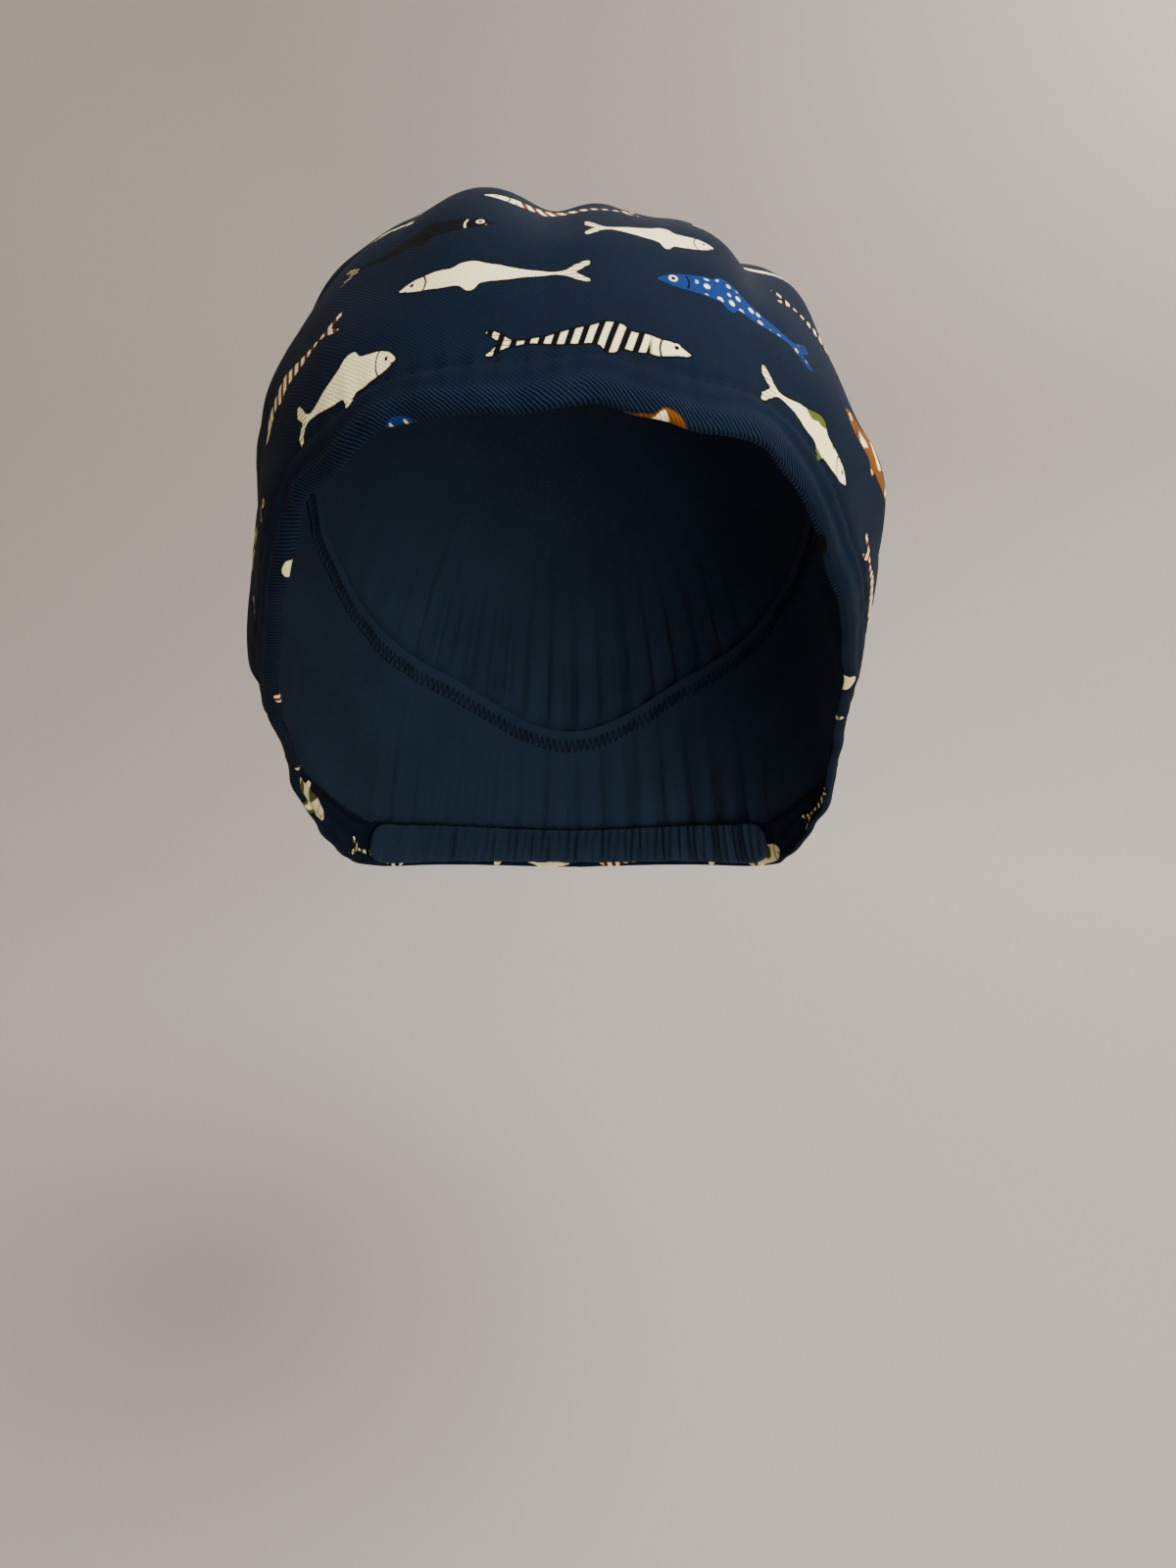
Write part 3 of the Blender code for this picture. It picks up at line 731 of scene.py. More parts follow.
def fish_print(tree, flat, colors):
    """Small fish in staggered rows that swim left and right by turns: their colour and where they are."""
    long = colors.motif_length / MM

    # Rows and columns of the repeat
    across = add(tree, "SeparateXYZ", [flat])
    up = across.node.outputs[1]
    row_share = add(tree, "Math MULTIPLY_ADD", [up, 1 / colors.pitch_up, 0.72])
    row = add(tree, "Math FLOOR", [row_share])
    shift = add(tree, "Math MULTIPLY", [row, 0.37])
    column_share = add(tree, "Math MULTIPLY_ADD", [across, 1 / colors.pitch_across, shift])
    column = add(tree, "Math FLOOR", [column_share])

    # Place inside the motif's own cell, in millimetres from its middle
    cell = []
    for share, number, pitch in ((column_share, column, colors.pitch_across),
                                 (row_share, row, colors.pitch_up)):
        away = add(tree, "Math SUBTRACT", [share, number])
        cell.append(add(tree, "Math MULTIPLY_ADD", [away, pitch / MM, -0.5 * pitch / MM]))
    x, y = cell
    odd = add(tree, "Math FLOORED_MODULO", [row, 2.0])
    facing = add(tree, "Math MULTIPLY_ADD", [odd, -2.0, 1.0])
    x = add(tree, "Math MULTIPLY", [x, facing])

    # Colourway, in a fixed order that moves on from row to row
    turn = add(tree, "Math MULTIPLY_ADD", [column, 3.0, row])
    turn = add(tree, "Math ADD", [turn, 6.0])
    turn = add(tree, "Math FLOORED_MODULO", [turn, 8.0])
    index = add(tree, "Math MULTIPLY_ADD", [turn, 1 / 8, 0.5 / 8])

    # Hand-drawn wobble and a slight lean of each fish
    wobble = add(tree, "TexNoise", {"Vector": flat, "Scale": 1 / WOBBLE_LENGTH, "Detail": 1.0})
    wobble = add(tree, "Math SUBTRACT", [wobble, 0.5])
    y = add(tree, "Math MULTIPLY_ADD", [wobble, 0.9, y])
    bend = add(tree, "Math MULTIPLY", [x, 0.11])
    bend = add(tree, "Math SINE", [bend])
    bends = choice(tree, index, (0.5, 0.9, 0.2, 0.7, 0.0, 0.6, 0.9, 0.3))
    y = add(tree, "Math MULTIPLY_ADD", [bend, bends, y])

    # Length and depth of the body: slim and stout fish
    slim = choice(tree, index, (1.0, 0.97, 0.82, 1.0, 0.74, 0.95, 0.9, 1.0))
    tall = choice(tree, index, (0.78, 0.70, 0.92, 0.75, 1.0, 0.72, 0.85, 0.66))
    length = add(tree, "Math DIVIDE", [x, slim])
    length = add(tree, "Math DIVIDE", [length, long])
    share = add(tree, "Math ADD", [length, 0.5], use_clamp=True)
    reach = add(tree, "Math MULTIPLY", [tall, colors.motif_height / MM])
    back = add(tree, "Math MULTIPLY", [draw_profile(tree, share, FISH_BACK), reach])
    belly = add(tree, "Math MULTIPLY", [draw_profile(tree, share, FISH_BELLY), reach])
    above = add(tree, "Math SUBTRACT", [back, y])
    below = add(tree, "Math ADD", [belly, y])
    depth = add(tree, "Math MINIMUM", [above, below])

    # Ends of the fish and the notch in its tail
    beyond = add(tree, "Math ABSOLUTE", [length])
    beyond = add(tree, "Math MULTIPLY_ADD", [beyond, -40.0, 20.0])
    depth = add(tree, "Math MINIMUM", [depth, beyond])
    off_axis = add(tree, "Math ABSOLUTE", [y])
    notch = add(tree, "Math SUBTRACT", [TAIL_NOTCH, share])
    notch = add(tree, "Math MULTIPLY_ADD", [notch, 38.0, off_axis])
    depth = add(tree, "Math MINIMUM", [depth, notch])
    fish = soft_edge(tree, depth, INK_EDGE)
    inside = add(tree, "Math SUBTRACT", [depth, OUTLINE_WIDTH])
    inside = soft_edge(tree, inside, INK_EDGE)

    # Marks on the body: stripes, dots or patches, by the colourway
    slant = add(tree, "Math MULTIPLY", [y, 0.10])
    stripe = add(tree, "Math MULTIPLY_ADD", [x, 1 / STRIPE_STEP, slant])
    stripe = add(tree, "Math PINGPONG", [stripe, 0.5])
    stripe = add(tree, "Math SUBTRACT", [stripe, 0.25])
    flat_mm = add(tree, "VectorMath MULTIPLY", [flat, (1 / MM, 1 / MM, 0.0)])
    dots = add(tree, "TexVoronoi", {"Vector": flat_mm, "Scale": 1 / DOT_STEP, "Randomness": 0.35})
    dots = add(tree, "Math SUBTRACT", [0.27, dots])
    patches = add(tree, "TexNoise", {"Vector": flat_mm, "Scale": 1 / PATCH_SIZE, "Detail": 0.0})
    patches = add(tree, "Math SUBTRACT", [patches, 0.53])
    marks = 0.0
    for kind, edge, colourways in ((stripe, 0.10, (0, 0, 0, 0, 0, 1, 0, 1)),
                                   (dots, 0.08, (0, 0, 0, 1, 0, 0, 0, 0)),
                                   (patches, 0.03, (0, 0, 1, 0, 0, 0, 1, 0))):
        kind = soft_edge(tree, kind, edge)
        marks = add(tree, "Math MULTIPLY_ADD", [kind, choice(tree, index, colourways), marks])
    trunk = add(tree, "MapRange", [share, BODY_START, BODY_START + 0.02, 0.0, 1.0], clamp=True)
    marks = add(tree, "Math MULTIPLY", [marks, trunk])

    # Gill, fin rays and mouth, drawn in line
    gill = add(tree, "Math MULTIPLY_ADD", [share, long, -GILL_CENTRE * long])
    gill = add(tree, "CombineXYZ", [gill, y])
    gill = add(tree, "VectorMath LENGTH", [gill], output=1)
    gill = add(tree, "Math SUBTRACT", [gill, GILL_REACH])
    gill = add(tree, "Math ABSOLUTE", [gill])
    gill = add(tree, "Math SUBTRACT", [PEN_WIDTH, gill])
    rays = add(tree, "Math MULTIPLY", [y, 1 / RAY_STEP])
    rays = add(tree, "Math PINGPONG", [rays, 0.5])
    rays = add(tree, "Math SUBTRACT", [rays, 0.40])
    tail = add(tree, "Math MULTIPLY_ADD", [share, 20.0, -20.0 * RAYS_START])
    rays = add(tree, "Math MINIMUM", [rays, tail])
    line = add(tree, "Math MAXIMUM", [gill, rays])
    mouth = add(tree, "Math ADD", [y, MOUTH_DROP])
    mouth = add(tree, "Math ABSOLUTE", [mouth])
    mouth = add(tree, "Math SUBTRACT", [MOUTH_WIDTH, mouth])
    cheek = add(tree, "Math MULTIPLY_ADD", [share, -40.0, 40.0 * MOUTH_END])
    mouth = add(tree, "Math MINIMUM", [mouth, cheek])
    line = add(tree, "Math MAXIMUM", [line, mouth])
    line = soft_edge(tree, line, PEN_EDGE)

    # Eye: a pupil in a white
    eye_x = add(tree, "Math MULTIPLY_ADD", [share, long, -EYE_CENTRE * long])
    eye_y = add(tree, "Math SUBTRACT", [y, EYE_RISE])
    eye = add(tree, "CombineXYZ", [eye_x, eye_y])
    eye = add(tree, "VectorMath LENGTH", [eye], output=1)
    white = add(tree, "Math SUBTRACT", [EYE_RADIUS, eye])
    pupil = add(tree, "Math SUBTRACT", [PUPIL_RADIUS, eye])

    # Inks, laid over one another
    cream, black, green, orange, red, blue = [
        tuple(color) for color in (colors.cream, colors.black, colors.green,
                                   colors.orange, colors.red, colors.blue)]
    ink = color_choice(tree, index, [cream, black, cream, blue, cream, cream, orange, cream])
    mark = color_choice(tree, index, [cream, black, green, cream, cream, red, cream, black])
    pen = color_choice(tree, index, [black, cream, black, black, black, black, black, black])
    edge = color_choice(tree, index, [black, black, black, blue, black, black, orange, black])
    white = soft_edge(tree, white, PEN_EDGE)
    pupil = soft_edge(tree, pupil, PEN_EDGE)
    ink = add(tree, "Mix", {0: marks, 6: ink, 7: mark}, **MIX_COLOR)
    ink = add(tree, "Mix", {0: line, 6: ink, 7: pen}, **MIX_COLOR)
    ink = add(tree, "Mix", {0: inside, 6: edge, 7: ink}, **MIX_COLOR)
    ink = add(tree, "Mix", {0: white, 6: ink, 7: cream}, **MIX_COLOR)
    ink = add(tree, "Mix", {0: pupil, 6: ink, 7: black}, **MIX_COLOR)
    return ink, fish


def twill_lines(tree, flat, wale):
    """The diagonal wales of the twill, 0 in the gaps and 1 on their backs."""
    place = add(tree, "SeparateXYZ", [flat])
    slub = add(tree, "TexNoise", {"Vector": flat, "Scale": 1 / SLUB_LENGTH, "Detail": 0.0})
    slub = add(tree, "Math SUBTRACT", [slub, 0.5])
    along = add(tree, "Math MULTIPLY", [place, math.cos(TWILL_LEAN) / wale])
    along = add(tree, "Math MULTIPLY_ADD", [place.node.outputs[1], math.sin(TWILL_LEAN) / wale, along])
    along = add(tree, "Math MULTIPLY_ADD", [slub, 0.55, along])
    wave = add(tree, "Math MULTIPLY", [along, 2 * math.pi])
    wave = add(tree, "Math COSINE", [wave])
    wales = add(tree, "Math MULTIPLY_ADD", [wave, 0.5, 0.5])
    return add(tree, "Math POWER", [wales, 1.4])


def hem_edge_relief_and_painted_light(tree, flat):
    """How far the wales at the turn of the hem's edge run deeper and carry painted highlight and painted
    shade, 1 at the edge and 0 above it.
    """
    climb = add(tree, "SeparateXYZ", [flat], output=1)
    climb = add(tree, "Math ABSOLUTE", [climb])
    return add(tree, "MapRange", [climb, 0.0035, 0.0070, 1.0, 0.0], interpolation_type="SMOOTHSTEP")


def dyed_ground(tree, flat, color, strength):
    """The dye of the ground, a little uneven as worn and washed cotton is."""
    clouds = add(tree, "TexNoise", {"Vector": flat, "Scale": 1 / CLOUD_SIZE, "Detail": 1.0})
    specks = add(tree, "TexNoise", {"Vector": flat, "Scale": 1 / SPECK_SIZE, "Detail": 1.0})
    tone = add(tree, "Math ADD", [clouds, specks])
    tone = add(tree, "MapRange", [tone, 0.7, 1.3, 1.0 - strength, 1.0 + strength])
    return add(tree, "Mix", {0: 1.0, 6: tuple(color), 7: tone}, **SHADE_COLOR)


def printed_twill(name, sewing, colors):
    """Cotton twill, piece-dyed navy and pigment printed: matt ink that sits on the wales, a soft sheen."""
    material, tree = new_material(name)
    flat = add(tree, "UVMap", uv_map="cut_cloth")
    wales = twill_lines(tree, flat, sewing.wale)
    hem = hem_edge_relief_and_painted_light(tree, flat)
    ink, fish = fish_print(tree, flat, colors)
    # Painted highlight and shade: towards the hem's edge the wales' backs are painted up to 2.2 times lighter
    # and their gaps down to half as dark; above the hem the weave's tone changes only a little.
    gap_weave_and_painted_shade = add(tree, "MapRange", [hem, 0.0, 1.0, 0.96, 0.50])
    back_weave_and_painted_highlight = add(tree, "MapRange", [hem, 0.0, 1.0, 1.03, 2.2])
    gap = add(tree, "MapRange", [wales, 0.0, 1.0, gap_weave_and_painted_shade, back_weave_and_painted_highlight])
    ground = dyed_ground(tree, flat, colors.navy, 0.10)
    ground = add(tree, "Mix", {0: 1.0, 6: ground, 7: gap}, **SHADE_COLOR)
    ink_gap = add(tree, "MapRange", [wales, 0.0, 0.6, 0.90, 1.0])
    ink = add(tree, "Mix", {0: 1.0, 6: ink, 7: ink_gap}, **SHADE_COLOR)
    color = add(tree, "Mix", {0: fish, 6: ground, 7: ink}, **MIX_COLOR)
    lint = add(tree, "TexNoise", {"Vector": flat, "Scale": 1 / LINT_SIZE, "Detail": 0.0})
    depth = add(tree, "MapRange", [hem, 0.0, 1.0, 0.20, 1.0])
    height = add(tree, "Math MULTIPLY", [wales, depth])
    height = add(tree, "Math MULTIPLY_ADD", [lint, 0.25, height])
    weave = add(tree, "Bump", {"Strength": 0.8, "Distance": 0.00024, "Height": height})
    rumple = add(tree, "TexNoise", {"Vector": flat, "Scale": 1 / RUMPLE_SIZE, "Detail": 1.0})
    normal = add(tree, "Bump", {"Strength": 0.35, "Distance": 0.0006, "Height": rumple, "Normal": weave})
    add(tree, "OutputMaterial", [add(tree, "BsdfPrincipled", {
        "Base Color": color, "Roughness": 0.86, "IOR": 1.45, "Specular IOR Level": 0.055,
        "Sheen Weight": 0.013, "Sheen Roughness": 0.45, "Normal": normal})])
    return material


def twill_reverse(name, sewing, colors):
    """The wrong side of the twill: the dye alone, a little greyer, with no print."""
    material, tree = new_material(name)
    flat = add(tree, "UVMap", uv_map="cut_cloth")
    wales = twill_lines(tree, flat, sewing.wale)
    gap = add(tree, "MapRange", [wales, 0.0, 1.0, 0.90, 1.06])
    ground = dyed_ground(tree, flat, colors.reverse, 0.12)
    ground = add(tree, "Mix", {0: 1.0, 6: ground, 7: gap}, **SHADE_COLOR)
    normal = add(tree, "Bump", {"Strength": 0.4, "Distance": 0.0002, "Height": wales})
    add(tree, "OutputMaterial", [add(tree, "BsdfPrincipled", {
        "Base Color": ground, "Roughness": 0.9, "IOR": 1.45, "Specular IOR Level": 0.055,
        "Sheen Weight": 0.013, "Sheen Roughness": 0.5, "Normal": normal})])
    return material


def sewing_thread(name, color, ply_step):
    """Spun polyester thread: two plies that catch the light along their twist."""
    material, tree = new_material(name)
    place = add(tree, "TexCoord", output=3)
    plies = add(tree, "TexWave", {"Vector": place, "Scale": WAVE_BAND / ply_step, "Distortion": 1.5},
                bands_direction="DIAGONAL")
    shade = add(tree, "MapRange", [plies, 0.0, 1.0, 0.7, 1.3])
    tone = add(tree, "Mix", {0: 1.0, 6: color, 7: shade}, **SHADE_COLOR)
    normal = add(tree, "Bump", {"Strength": 0.6, "Distance": 0.00008, "Height": plies})
    add(tree, "OutputMaterial", [add(tree, "BsdfPrincipled", {
        "Base Color": tone, "Roughness": 0.75, "IOR": 1.5, "Specular IOR Level": 0.15, "Normal": normal})])
    return material


def backdrop_paint(name, color):
    """Matt emulsion, rolled on in several thin coats: one even tone with no gloss."""
    material, tree = new_material(name)
    add(tree, "OutputMaterial", [add(tree, "BsdfDiffuse", {"Color": color, "Roughness": 0.5})])
    return material


def shared_material(make, name, *settings):
    """The material of that name, made the first time it is asked for."""
    return bpy.data.materials.get(name) or make(name, *settings)


def cloth_materials(scene):
    """The printed face and the reverse of the twill."""
    settings = (scene.scrub_cap_sewing, scene.scrub_cap_print)
    return (shared_material(printed_twill, "pigment_printed_cotton_twill", *settings),
            shared_material(twill_reverse, "cotton_twill_wrong_side", *settings))


def around_angles(columns):
    """Angles of the columns from the back round the left, the front and the right to the back again."""
    return np.linspace(-180.0, 180.0, columns + 1)[:, None]


def hem_thickness(around, sewing):
    """Thickness at the lower edge: the turned hem in front, one layer over the casing."""
    past_hem = smooth_step(np.abs(turned(around)), CASING_START - 6.0, CASING_START - 2.0)
    return sewing.hem_thickness + (sewing.cloth - sewing.hem_thickness) * past_hem


def band_section(around, sewing):
    """Climb and inset of the band's rows: down its outer face, round the edge and up its inner face."""
    top = band_height(around)
    thick = hem_thickness(around, sewing)
    edge = thick / 2
    hem = sewing.hem_height
    inner = hem + HEM_STEP
    face = np.arange(BAND_ROWS + 1) / BAND_ROWS
    turn = np.arange(HEM_ROWS + 1) / HEM_ROWS
    bend = np.linspace(0.0, math.pi, EDGE_ROWS)
    plain = np.zeros_like(top)
    climb = [top + (hem - top) * face[:-1], hem + (edge - hem) * turn[:-1], edge * (1 - np.sin(bend)),
             edge + (hem - edge) * turn[1:], inner + (top - inner) * face, top]
    inset = [plain * face[:-1], plain * turn[:-1], edge * (1 - np.cos(bend)),
             thick + plain * turn[1:], sewing.cloth + plain * face, plain]
    return np.concatenate(climb, axis=1), np.concatenate(inset, axis=1)


class MESH_OT_scrub_cap_band(bpy.types.Operator):
    """Model the printed band with its turned hem"""
    bl_idname = "mesh.scrub_cap_band"
    bl_label = "Printed Band"

    def execute(self, context):
        sewing = context.scene.scrub_cap_sewing
        around = around_angles(BAND_COLUMNS)
        climb, inset = band_section(around, sewing)
        edge = BAND_ROWS + HEM_ROWS + EDGE_ROWS // 2
        turned_in = BAND_ROWS + HEM_ROWS + EDGE_ROWS + HEM_ROWS
        down = along_rows(cut_cloth_point(around, climb))
        outside = down[:, edge:edge + 1] - down
        inside = down - down[:, turned_in:turned_in + 1] + sewing.hem_height
        past_hem = np.arange(climb.shape[1])[None, :] >= turned_in
        level = along_columns(cut_cloth_point(around, np.full_like(around, PRINT_LEVEL)))
        flat = np.stack([level + 0 * climb, np.where(past_hem, inside, outside)], axis=-1)
        cloth_piece("band_cloth", cloth_point(around, climb, inset, sewing), flat,
                    cloth_materials(context.scene), "side_band", turned_in - 1)
        return {"FINISHED"}


class MESH_OT_scrub_cap_crown(bpy.types.Operator):
    """Model the crown panel that is gathered into the band"""
    bl_idname = "mesh.scrub_cap_crown"
    bl_label = "Gathered Crown"

    def execute(self, context):
        sewing = context.scene.scrub_cap_sewing
        around = around_angles(CROWN_COLUMNS)
        seam = band_height(around)
        way = np.linspace(1.0, 0.0, CROWN_ROWS + 1) ** 1.25
        climb = seam + (pole_climb(around) - seam) * np.concatenate([way, way[::-1]])
        inset = np.repeat([0.0, sewing.cloth], CROWN_ROWS + 1)
        from_pole = along_rows(cut_cloth_point(around, climb[:, :CROWN_ROWS + 1]))
        from_pole = np.concatenate([from_pole, from_pole[:, ::-1]], axis=1)
        turn = np.radians(hem_angles(around)[0])
        flat = np.stack([-from_pole * np.sin(turn), from_pole * np.cos(turn)], axis=-1)
        cloth_piece("crown_cloth", cloth_point(around, climb, inset, sewing), flat,
                    cloth_materials(context.scene), "crown", CROWN_ROWS + 1)
        return {"FINISHED"}


class MESH_OT_scrub_cap_casing(bpy.types.Operator):
    """Model the ruched casing that holds the elastic at the nape"""
    bl_idname = "mesh.scrub_cap_casing"
    bl_label = "Nape Casing"

    def execute(self, context):
        sewing = context.scene.scrub_cap_sewing
        around = np.linspace(CASING_START, 360.0 - CASING_START, CASING_COLUMNS + 1)[:, None]
        section = np.linspace(0.0, 2 * math.pi, CASING_ROWS + 1)
        sides = squared_off(np.cos(section), 0.6)
        ends = np.sqrt(1 - np.linspace(-1.0, 1.0, CASING_COLUMNS + 1)[:, None] ** 40)
        middle = CASING_HEIGHT / 2
        climb = middle + (middle - 0.0008) * squared_off(np.sin(section), 0.6) * ends
        along = np.radians(around) * CLIMB_RADIUS
        phase = 1.5 * np.sin(along / 0.012) + 3 * climb / CASING_HEIGHT
        ruche = np.sin(along / RUCHE_LENGTH * 2 * math.pi + phase)
        ruche = ruche + 0.5 * ripple(along, 0.0031, 2.0)
        depth = sewing.cloth + 0.0002 + CASING_HALF_DEPTH * (1 - sides * ends)
        depth = depth + RUCHE_DEPTH * ruche * (1 - sides) / 2 * ends
        depth = np.maximum(depth, sewing.cloth + 0.0001)
        plain = cut_cloth_point(around, climb)
        flat = np.stack([along_columns(plain) * 1.5, -along_rows(plain)], axis=-1)
        cloth_piece("elastic_casing", cloth_point(around, climb, depth, sewing), flat,
                    cloth_materials(context.scene)[1:], "nape_casing")
        return {"FINISHED"}


def line_length(around, climb):
    """Length along a line on the smooth cloth, up to each of its points."""
    steps = np.linalg.norm(np.diff(smooth_point(around, climb), axis=0), axis=-1)
    return np.concatenate([[0.0], np.cumsum(steps)])


class MESH_OT_scrub_cap_seam(bpy.types.Operator):
    """Model the overlocked seam allowances inside the crown seam"""
    bl_idname = "mesh.scrub_cap_seam"
    bl_label = "Overlocked Seam"

    def execute(self, context):
        sewing = context.scene.scrub_cap_sewing
        self.make_allowance(context, sewing)
        self.make_overlock(sewing)
        return {"FINISHED"}

    def edge_wave(self, around):
        """How far the loose edge of the allowance waves off the cloth."""
        angle = np.radians(around)
        return 0.0004 + 0.0004 * np.sin(angle * 23) + 0.0003 * np.sin(angle * 41 + 1)

    def make_allowance(self, context, sewing):
        """Two layers of cloth pressed down inside the band."""
        around = around_angles(CROWN_COLUMNS)
        section = np.linspace(0.0, 2 * math.pi, ALLOWANCE_ROWS + 1)[None, :]
        down = (1 - squared_off(np.cos(section), 0.5)) / 2 * sewing.allowance
        lift = self.edge_wave(around) * (down / sewing.allowance) ** 2
        depth = sewing.cloth + 0.0001 + ALLOWANCE_HALF_DEPTH * (1 - squared_off(np.sin(section), 0.5)) + lift
        points = cloth_point(around, band_height(around) + 0.0002 - down, depth, sewing)
        flat = np.stack([np.radians(around) * CLIMB_RADIUS + 0 * down, down + 0 * around], axis=-1)
        cloth_piece("seam_allowance", points, flat, cloth_materials(context.scene)[1:],
                    None)

    def make_overlock(self, sewing):
        """The thread that runs over the raw edge in slanting loops."""
        fine = np.linspace(-180.0, 180.0, 2001)
        length = line_length(fine, band_height(fine) - sewing.allowance)
        loops = round(length[-1] / sewing.overlock_step)
        progress = np.arange(loops * LOOP_STEPS) / LOOP_STEPS
        around = np.interp(progress * length[-1] / loops, length, fine)
        phase = progress * 2 * math.pi
        swing = (1 - np.cos(phase)) / 2
        climb = band_height(around) - sewing.allowance - OVERLOCK_OVERHANG + OVERLOCK_WIDTH * swing
        lift = self.edge_wave(around) * (1 - 0.5 * swing) + 0.0002 * np.sin(phase)
        depth = sewing.cloth + OVERLOCK_DEPTH + lift
        path = cloth_point(around, climb, depth, sewing) - SEAT
        piece = thread_tube("overlock_thread", path, sewing.thread)
        piece.data.materials.append(shared_material(
            sewing_thread, "overlock_polyester_thread", hex_to_linear(OVERLOCK_COLOR), OVERLOCK_PLY_STEP))
        finish_piece(piece, None)


def thread_tube(name, path, radius):
    """A closed tube of thread along a path, made from a curve and turned into a mesh."""
    curve = bpy.data.curves.new(name, "CURVE")
    curve.dimensions = "3D"
    curve.bevel_depth = radius
    curve.bevel_resolution = 0
    spline = curve.splines.new("POLY")
    spline.points.add(len(path) - 1)
    spline.points.foreach_set("co", np.concatenate([path, np.ones((len(path), 1))], axis=1).ravel())
    spline.use_cyclic_u = True
    piece = bpy.data.objects.new(name, curve)
    bpy.context.collection.objects.link(piece)
    clear_selection()
    piece.select_set(True)
    bpy.context.view_layer.objects.active = piece
    bpy.ops.object.convert(target="MESH")
    return bpy.context.object


class MESH_OT_scrub_cap_stitches(bpy.types.Operator):
    """Model the hem's stitches on both faces of the band"""
    bl_idname = "mesh.scrub_cap_stitches"
    bl_label = "Hem Stitches"

    def execute(self, context):
        sewing = context.scene.scrub_cap_sewing
        fine = np.linspace(-180.0, 180.0, 4001)
        length = line_length(fine, stitch_line(fine, sewing))
        count = round(length[-1] / (sewing.stitch_length + sewing.stitch_gap))
        middles = np.interp((np.arange(count) + 0.5) * length[-1] / count, length, fine)
        outer = self.stitch_frames(middles, np.full(count, STITCH_SINK), sewing)
        over_casing = np.abs(turned(middles)) > CASING_START - 3.0
        behind = np.where(over_casing, STITCH_THROUGH_CASING, sewing.hem_thickness)
        inner = self.stitch_frames(middles, behind - STITCH_SINK, sewing)
        self.copy_stitches("hem_stitches", outer, sewing, context)
        self.copy_stitches("hem_stitches_inside", inner, sewing, context)
        return {"FINISHED"}

    def stitch_frames(self, middles, inset, sewing):
        """Middle, direction along the line and outward normal of each stitch."""
        half = np.degrees(sewing.stitch_length / 2 / CLIMB_RADIUS)
        before = cloth_point(middles - half, stitch_line(middles - half, sewing), inset, sewing)
        after = cloth_point(middles + half, stitch_line(middles + half, sewing), inset, sewing)
        middle = cloth_point(middles, stitch_line(middles, sewing), inset, sewing)
        forward = unit(after - before)
        normal = outward(middles, stitch_line(middles, sewing))
        normal = normal - np.sum(normal * forward, axis=-1, keepdims=True) * forward
        normal = unit(normal)
        return middle - SEAT, forward, normal

    def copy_stitches(self, name, frames, sewing, context):
        """One stitch modelled from a sphere, then laid along the line again and again as one mesh."""
        clear_selection()
        bpy.ops.mesh.primitive_uv_sphere_add(segments=8, ring_count=6, rotation=(0, math.pi / 2, 0))
        piece = bpy.context.object
        bpy.ops.object.transform_apply(location=False, rotation=True, scale=False)
        single = np.array([vertex.co for vertex in piece.data.vertices])
        single[:, 0] = np.sign(single[:, 0]) * np.abs(single[:, 0]) ** 0.75 * sewing.stitch_length / 2
        single[:, 1] = single[:, 1] * sewing.thread * 1.15
        single[:, 2] = (single[:, 2] - 0.6 * (single[:, 0] / (sewing.stitch_length / 2)) ** 2) * sewing.thread
        faces = [tuple(face.vertices) for face in piece.data.polygons]
        middle, forward, normal = frames
        side = np.cross(normal, forward)
        points = middle[:, None, :] + single[None, :, :1] * forward[:, None, :]
        points = points + single[None, :, 1:2] * side[:, None, :] + single[None, :, 2:] * normal[:, None, :]
        mesh = bpy.data.meshes.new(name)
        every = [tuple(corner + number * len(single) for corner in face)
                 for number in range(len(middle)) for face in faces]
        mesh.from_pydata(points.reshape(-1, 3).tolist(), [], every)
        piece.data = mesh
        piece.name = name
        color = tuple(context.scene.scrub_cap_print.thread)
        mesh.materials.append(shared_material(
            sewing_thread, "spun_polyester_thread", color, STITCH_PLY_STEP))
        finish_piece(piece, None)


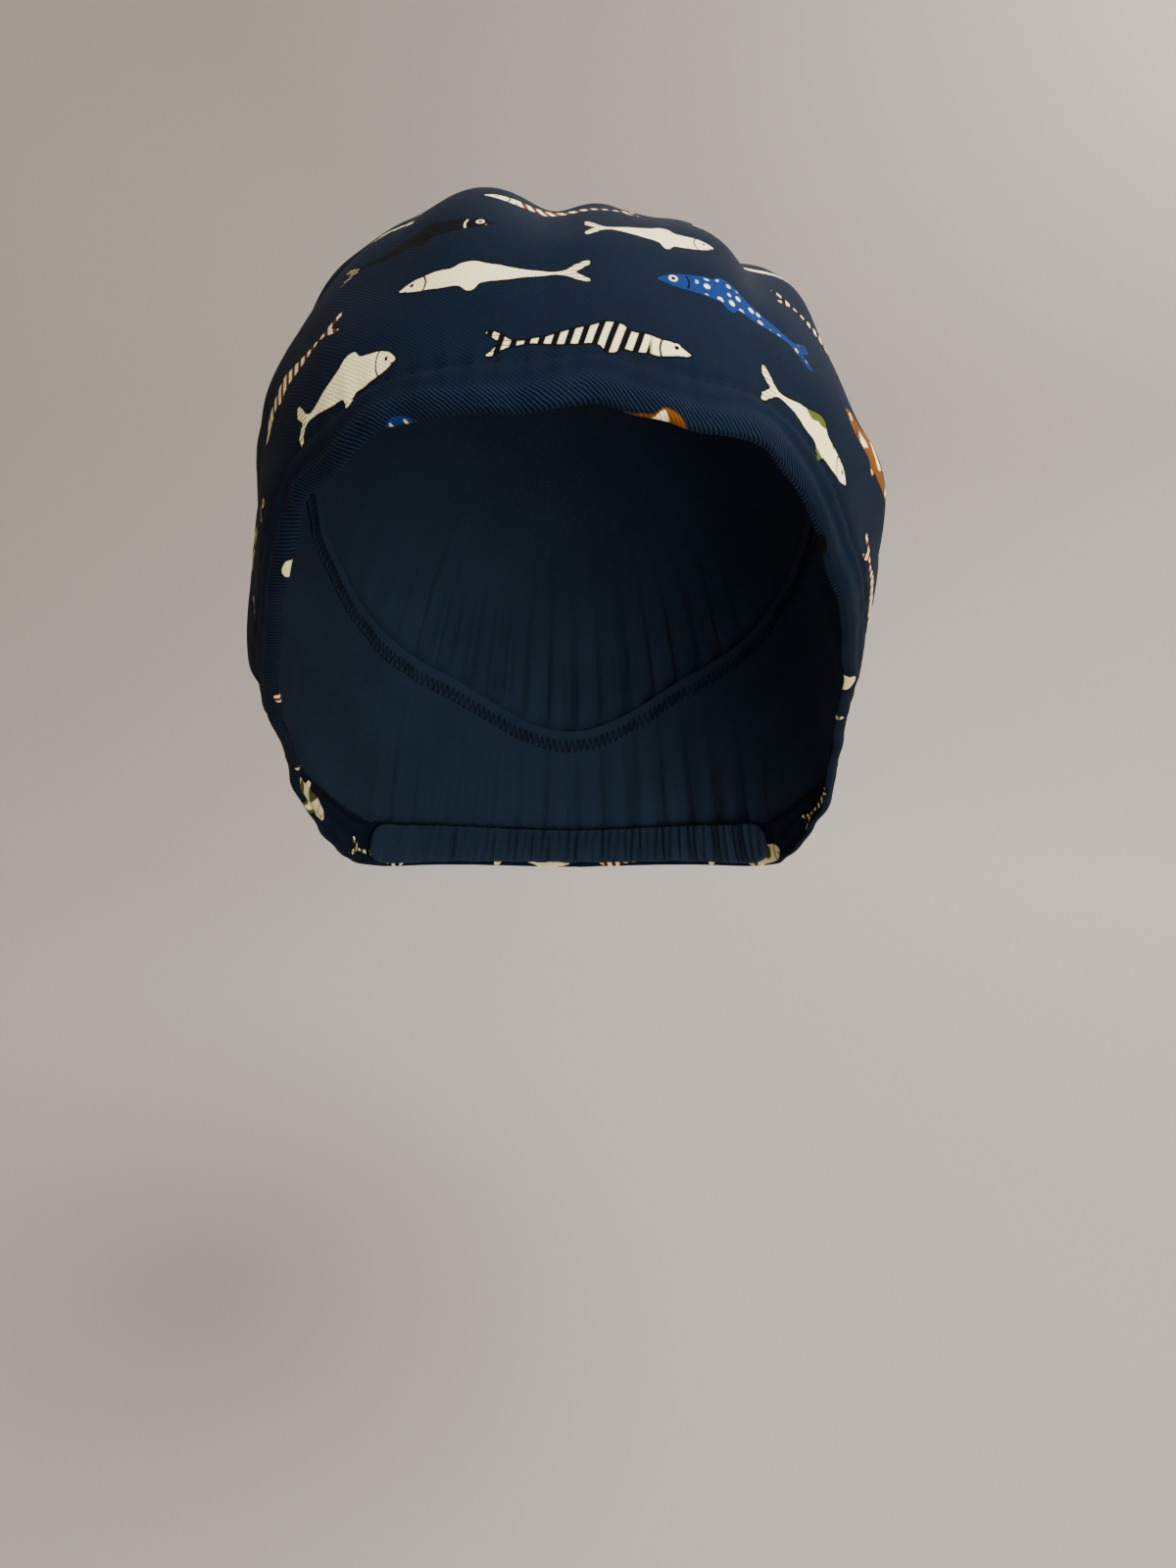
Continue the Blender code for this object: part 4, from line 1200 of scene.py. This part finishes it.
class SCENE_OT_scrub_cap_stage(bpy.types.Operator):
    """Build the round backdrop, the soft lights and the camera"""
    bl_idname = "scene.scrub_cap_stage"
    bl_label = "Studio Stage"

    def execute(self, context):
        stage = context.scene.scrub_cap_stage
        self.make_backdrop(stage)
        self.make_lights(context, stage)
        self.make_camera(context, stage)
        return {"FINISHED"}

    def make_backdrop(self, stage):
        """A round floor that runs into a low round wall in one curve, open to the sky."""
        steps = BACKDROP_STEPS
        piece, column, row = grid_piece("studio_backdrop", BACKDROP_COLUMNS, 3 * steps)
        turn = np.linspace(0.0, 2 * math.pi, BACKDROP_COLUMNS + 1)[:, None]
        bend = np.linspace(0.0, math.pi / 2, steps + 1)
        flat_reach = stage.room_radius - stage.cove_radius
        reach = np.concatenate([np.linspace(0.0, flat_reach, steps + 1)[:-1],
                                flat_reach + stage.cove_radius * np.sin(bend),
                                np.full(steps, stage.room_radius)])[None, :]
        wall = np.linspace(stage.cove_radius, stage.room_height, steps + 1)[1:]
        height = np.concatenate([np.zeros(steps), stage.cove_radius * (1 - np.cos(bend)), wall])[None, :]
        points = np.stack([reach * np.cos(turn), reach * np.sin(turn),
                           height - stage.floor_drop + 0 * turn], axis=-1)
        lay_grid(piece, column, row, points, points[..., :2])
        weld(inside=True)
        piece.data.materials.append(backdrop_paint("matt_emulsion", tuple(stage.backdrop)))

    def make_lights(self, context, stage):
        """A soft light above the right front, weak ones before and behind, one on the wall, a dim sky."""
        for name, place, target, size, power in (
            ("overhead_softbox", (0.40, -0.30, 0.62), (0.0, 0.0, -0.08), 0.6, 14.0),
            ("front_fill", (0.35, -0.90, -0.05), (0.0, 0.0, -0.12), 0.7, 8.2),
            ("rear_softbox", (0.40, 1.00, 0.60), (0.0, 0.0, -0.08), 1.0, 8.0),
            ("wall_wash", (0.95, 0.60, 0.80), (0.75, 1.45, 0.15), 0.6, 24.0),
        ):
            clear_selection()
            bpy.ops.object.light_add(type="AREA", location=place)
            light = bpy.context.object
            light.name = name
            light.data.name = name
            light.data.shape = "DISK"
            light.data.size = size
            light.data.energy = power
            light.data.color = LAMP_COLOR
            light.visible_camera = False
            right, back, up = np.array(target) - np.array(place)
            light.rotation_euler = (math.atan2(math.hypot(right, back), -up), 0.0,
                                    math.atan2(-right, back))
        world = bpy.data.worlds.new("pale_sky")
        world.use_nodes = True
        sky = world.node_tree.nodes["Background"]
        sky.inputs["Color"].default_value = SKY_COLOR
        sky.inputs["Strength"].default_value = 0.25
        context.scene.world = world

    def make_camera(self, context, stage):
        """A camera a little below the top of the cap that looks down on its front."""
        clear_selection()
        place = (stage.camera_right, -stage.camera_back, -stage.camera_drop)
        turn = (math.pi / 2 - stage.camera_pitch, 0.0, 0.0)
        bpy.ops.object.camera_add(location=place, rotation=turn)
        camera = bpy.context.object
        camera.name = "photo_angle"
        camera.data.lens = stage.lens
        camera.data.sensor_width = 36.0
        camera.data.clip_start = 0.01
        camera.data.clip_end = 20.0
        context.scene.camera = camera


class VIEW3D_PT_scrub_cap(bpy.types.Panel):
    """Lists the cap's pieces and settings"""
    bl_label = "Scrub Cap"
    bl_idname = "VIEW3D_PT_scrub_cap"
    bl_space_type = "VIEW_3D"
    bl_region_type = "UI"
    bl_category = "Scrub Cap"

    def draw(self, context):
        layout = self.layout
        for operator in OPERATORS:
            layout.operator(operator.bl_idname)
        for group in (context.scene.scrub_cap_sewing, context.scene.scrub_cap_print,
                      context.scene.scrub_cap_stage):
            box = layout.box()
            for name in group.bl_rna.properties.keys():
                if name not in ("rna_type", "name"):
                    box.prop(group, name)


OPERATORS = (
    MESH_OT_scrub_cap_band,
    MESH_OT_scrub_cap_crown,
    MESH_OT_scrub_cap_casing,
    MESH_OT_scrub_cap_seam,
    MESH_OT_scrub_cap_stitches,
    SCENE_OT_scrub_cap_stage,
)
CLASSES = (ScrubCapSewing, ScrubCapPrint, ScrubCapStage) + OPERATORS + (VIEW3D_PT_scrub_cap,)


def register():
    for item in CLASSES:
        bpy.utils.register_class(item)
    bpy.types.Scene.scrub_cap_sewing = bpy.props.PointerProperty(type=ScrubCapSewing)
    bpy.types.Scene.scrub_cap_print = bpy.props.PointerProperty(type=ScrubCapPrint)
    bpy.types.Scene.scrub_cap_stage = bpy.props.PointerProperty(type=ScrubCapStage)


def unregister():
    del bpy.types.Scene.scrub_cap_sewing
    del bpy.types.Scene.scrub_cap_print
    del bpy.types.Scene.scrub_cap_stage
    for item in reversed(CLASSES):
        bpy.utils.unregister_class(item)


def main():
    register()
    bpy.ops.mesh.scrub_cap_band()
    bpy.ops.mesh.scrub_cap_crown()
    bpy.ops.mesh.scrub_cap_casing()
    bpy.ops.mesh.scrub_cap_seam()
    bpy.ops.mesh.scrub_cap_stitches()
    bpy.ops.scene.scrub_cap_stage()
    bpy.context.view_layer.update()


if __name__ == "__main__":
    main()
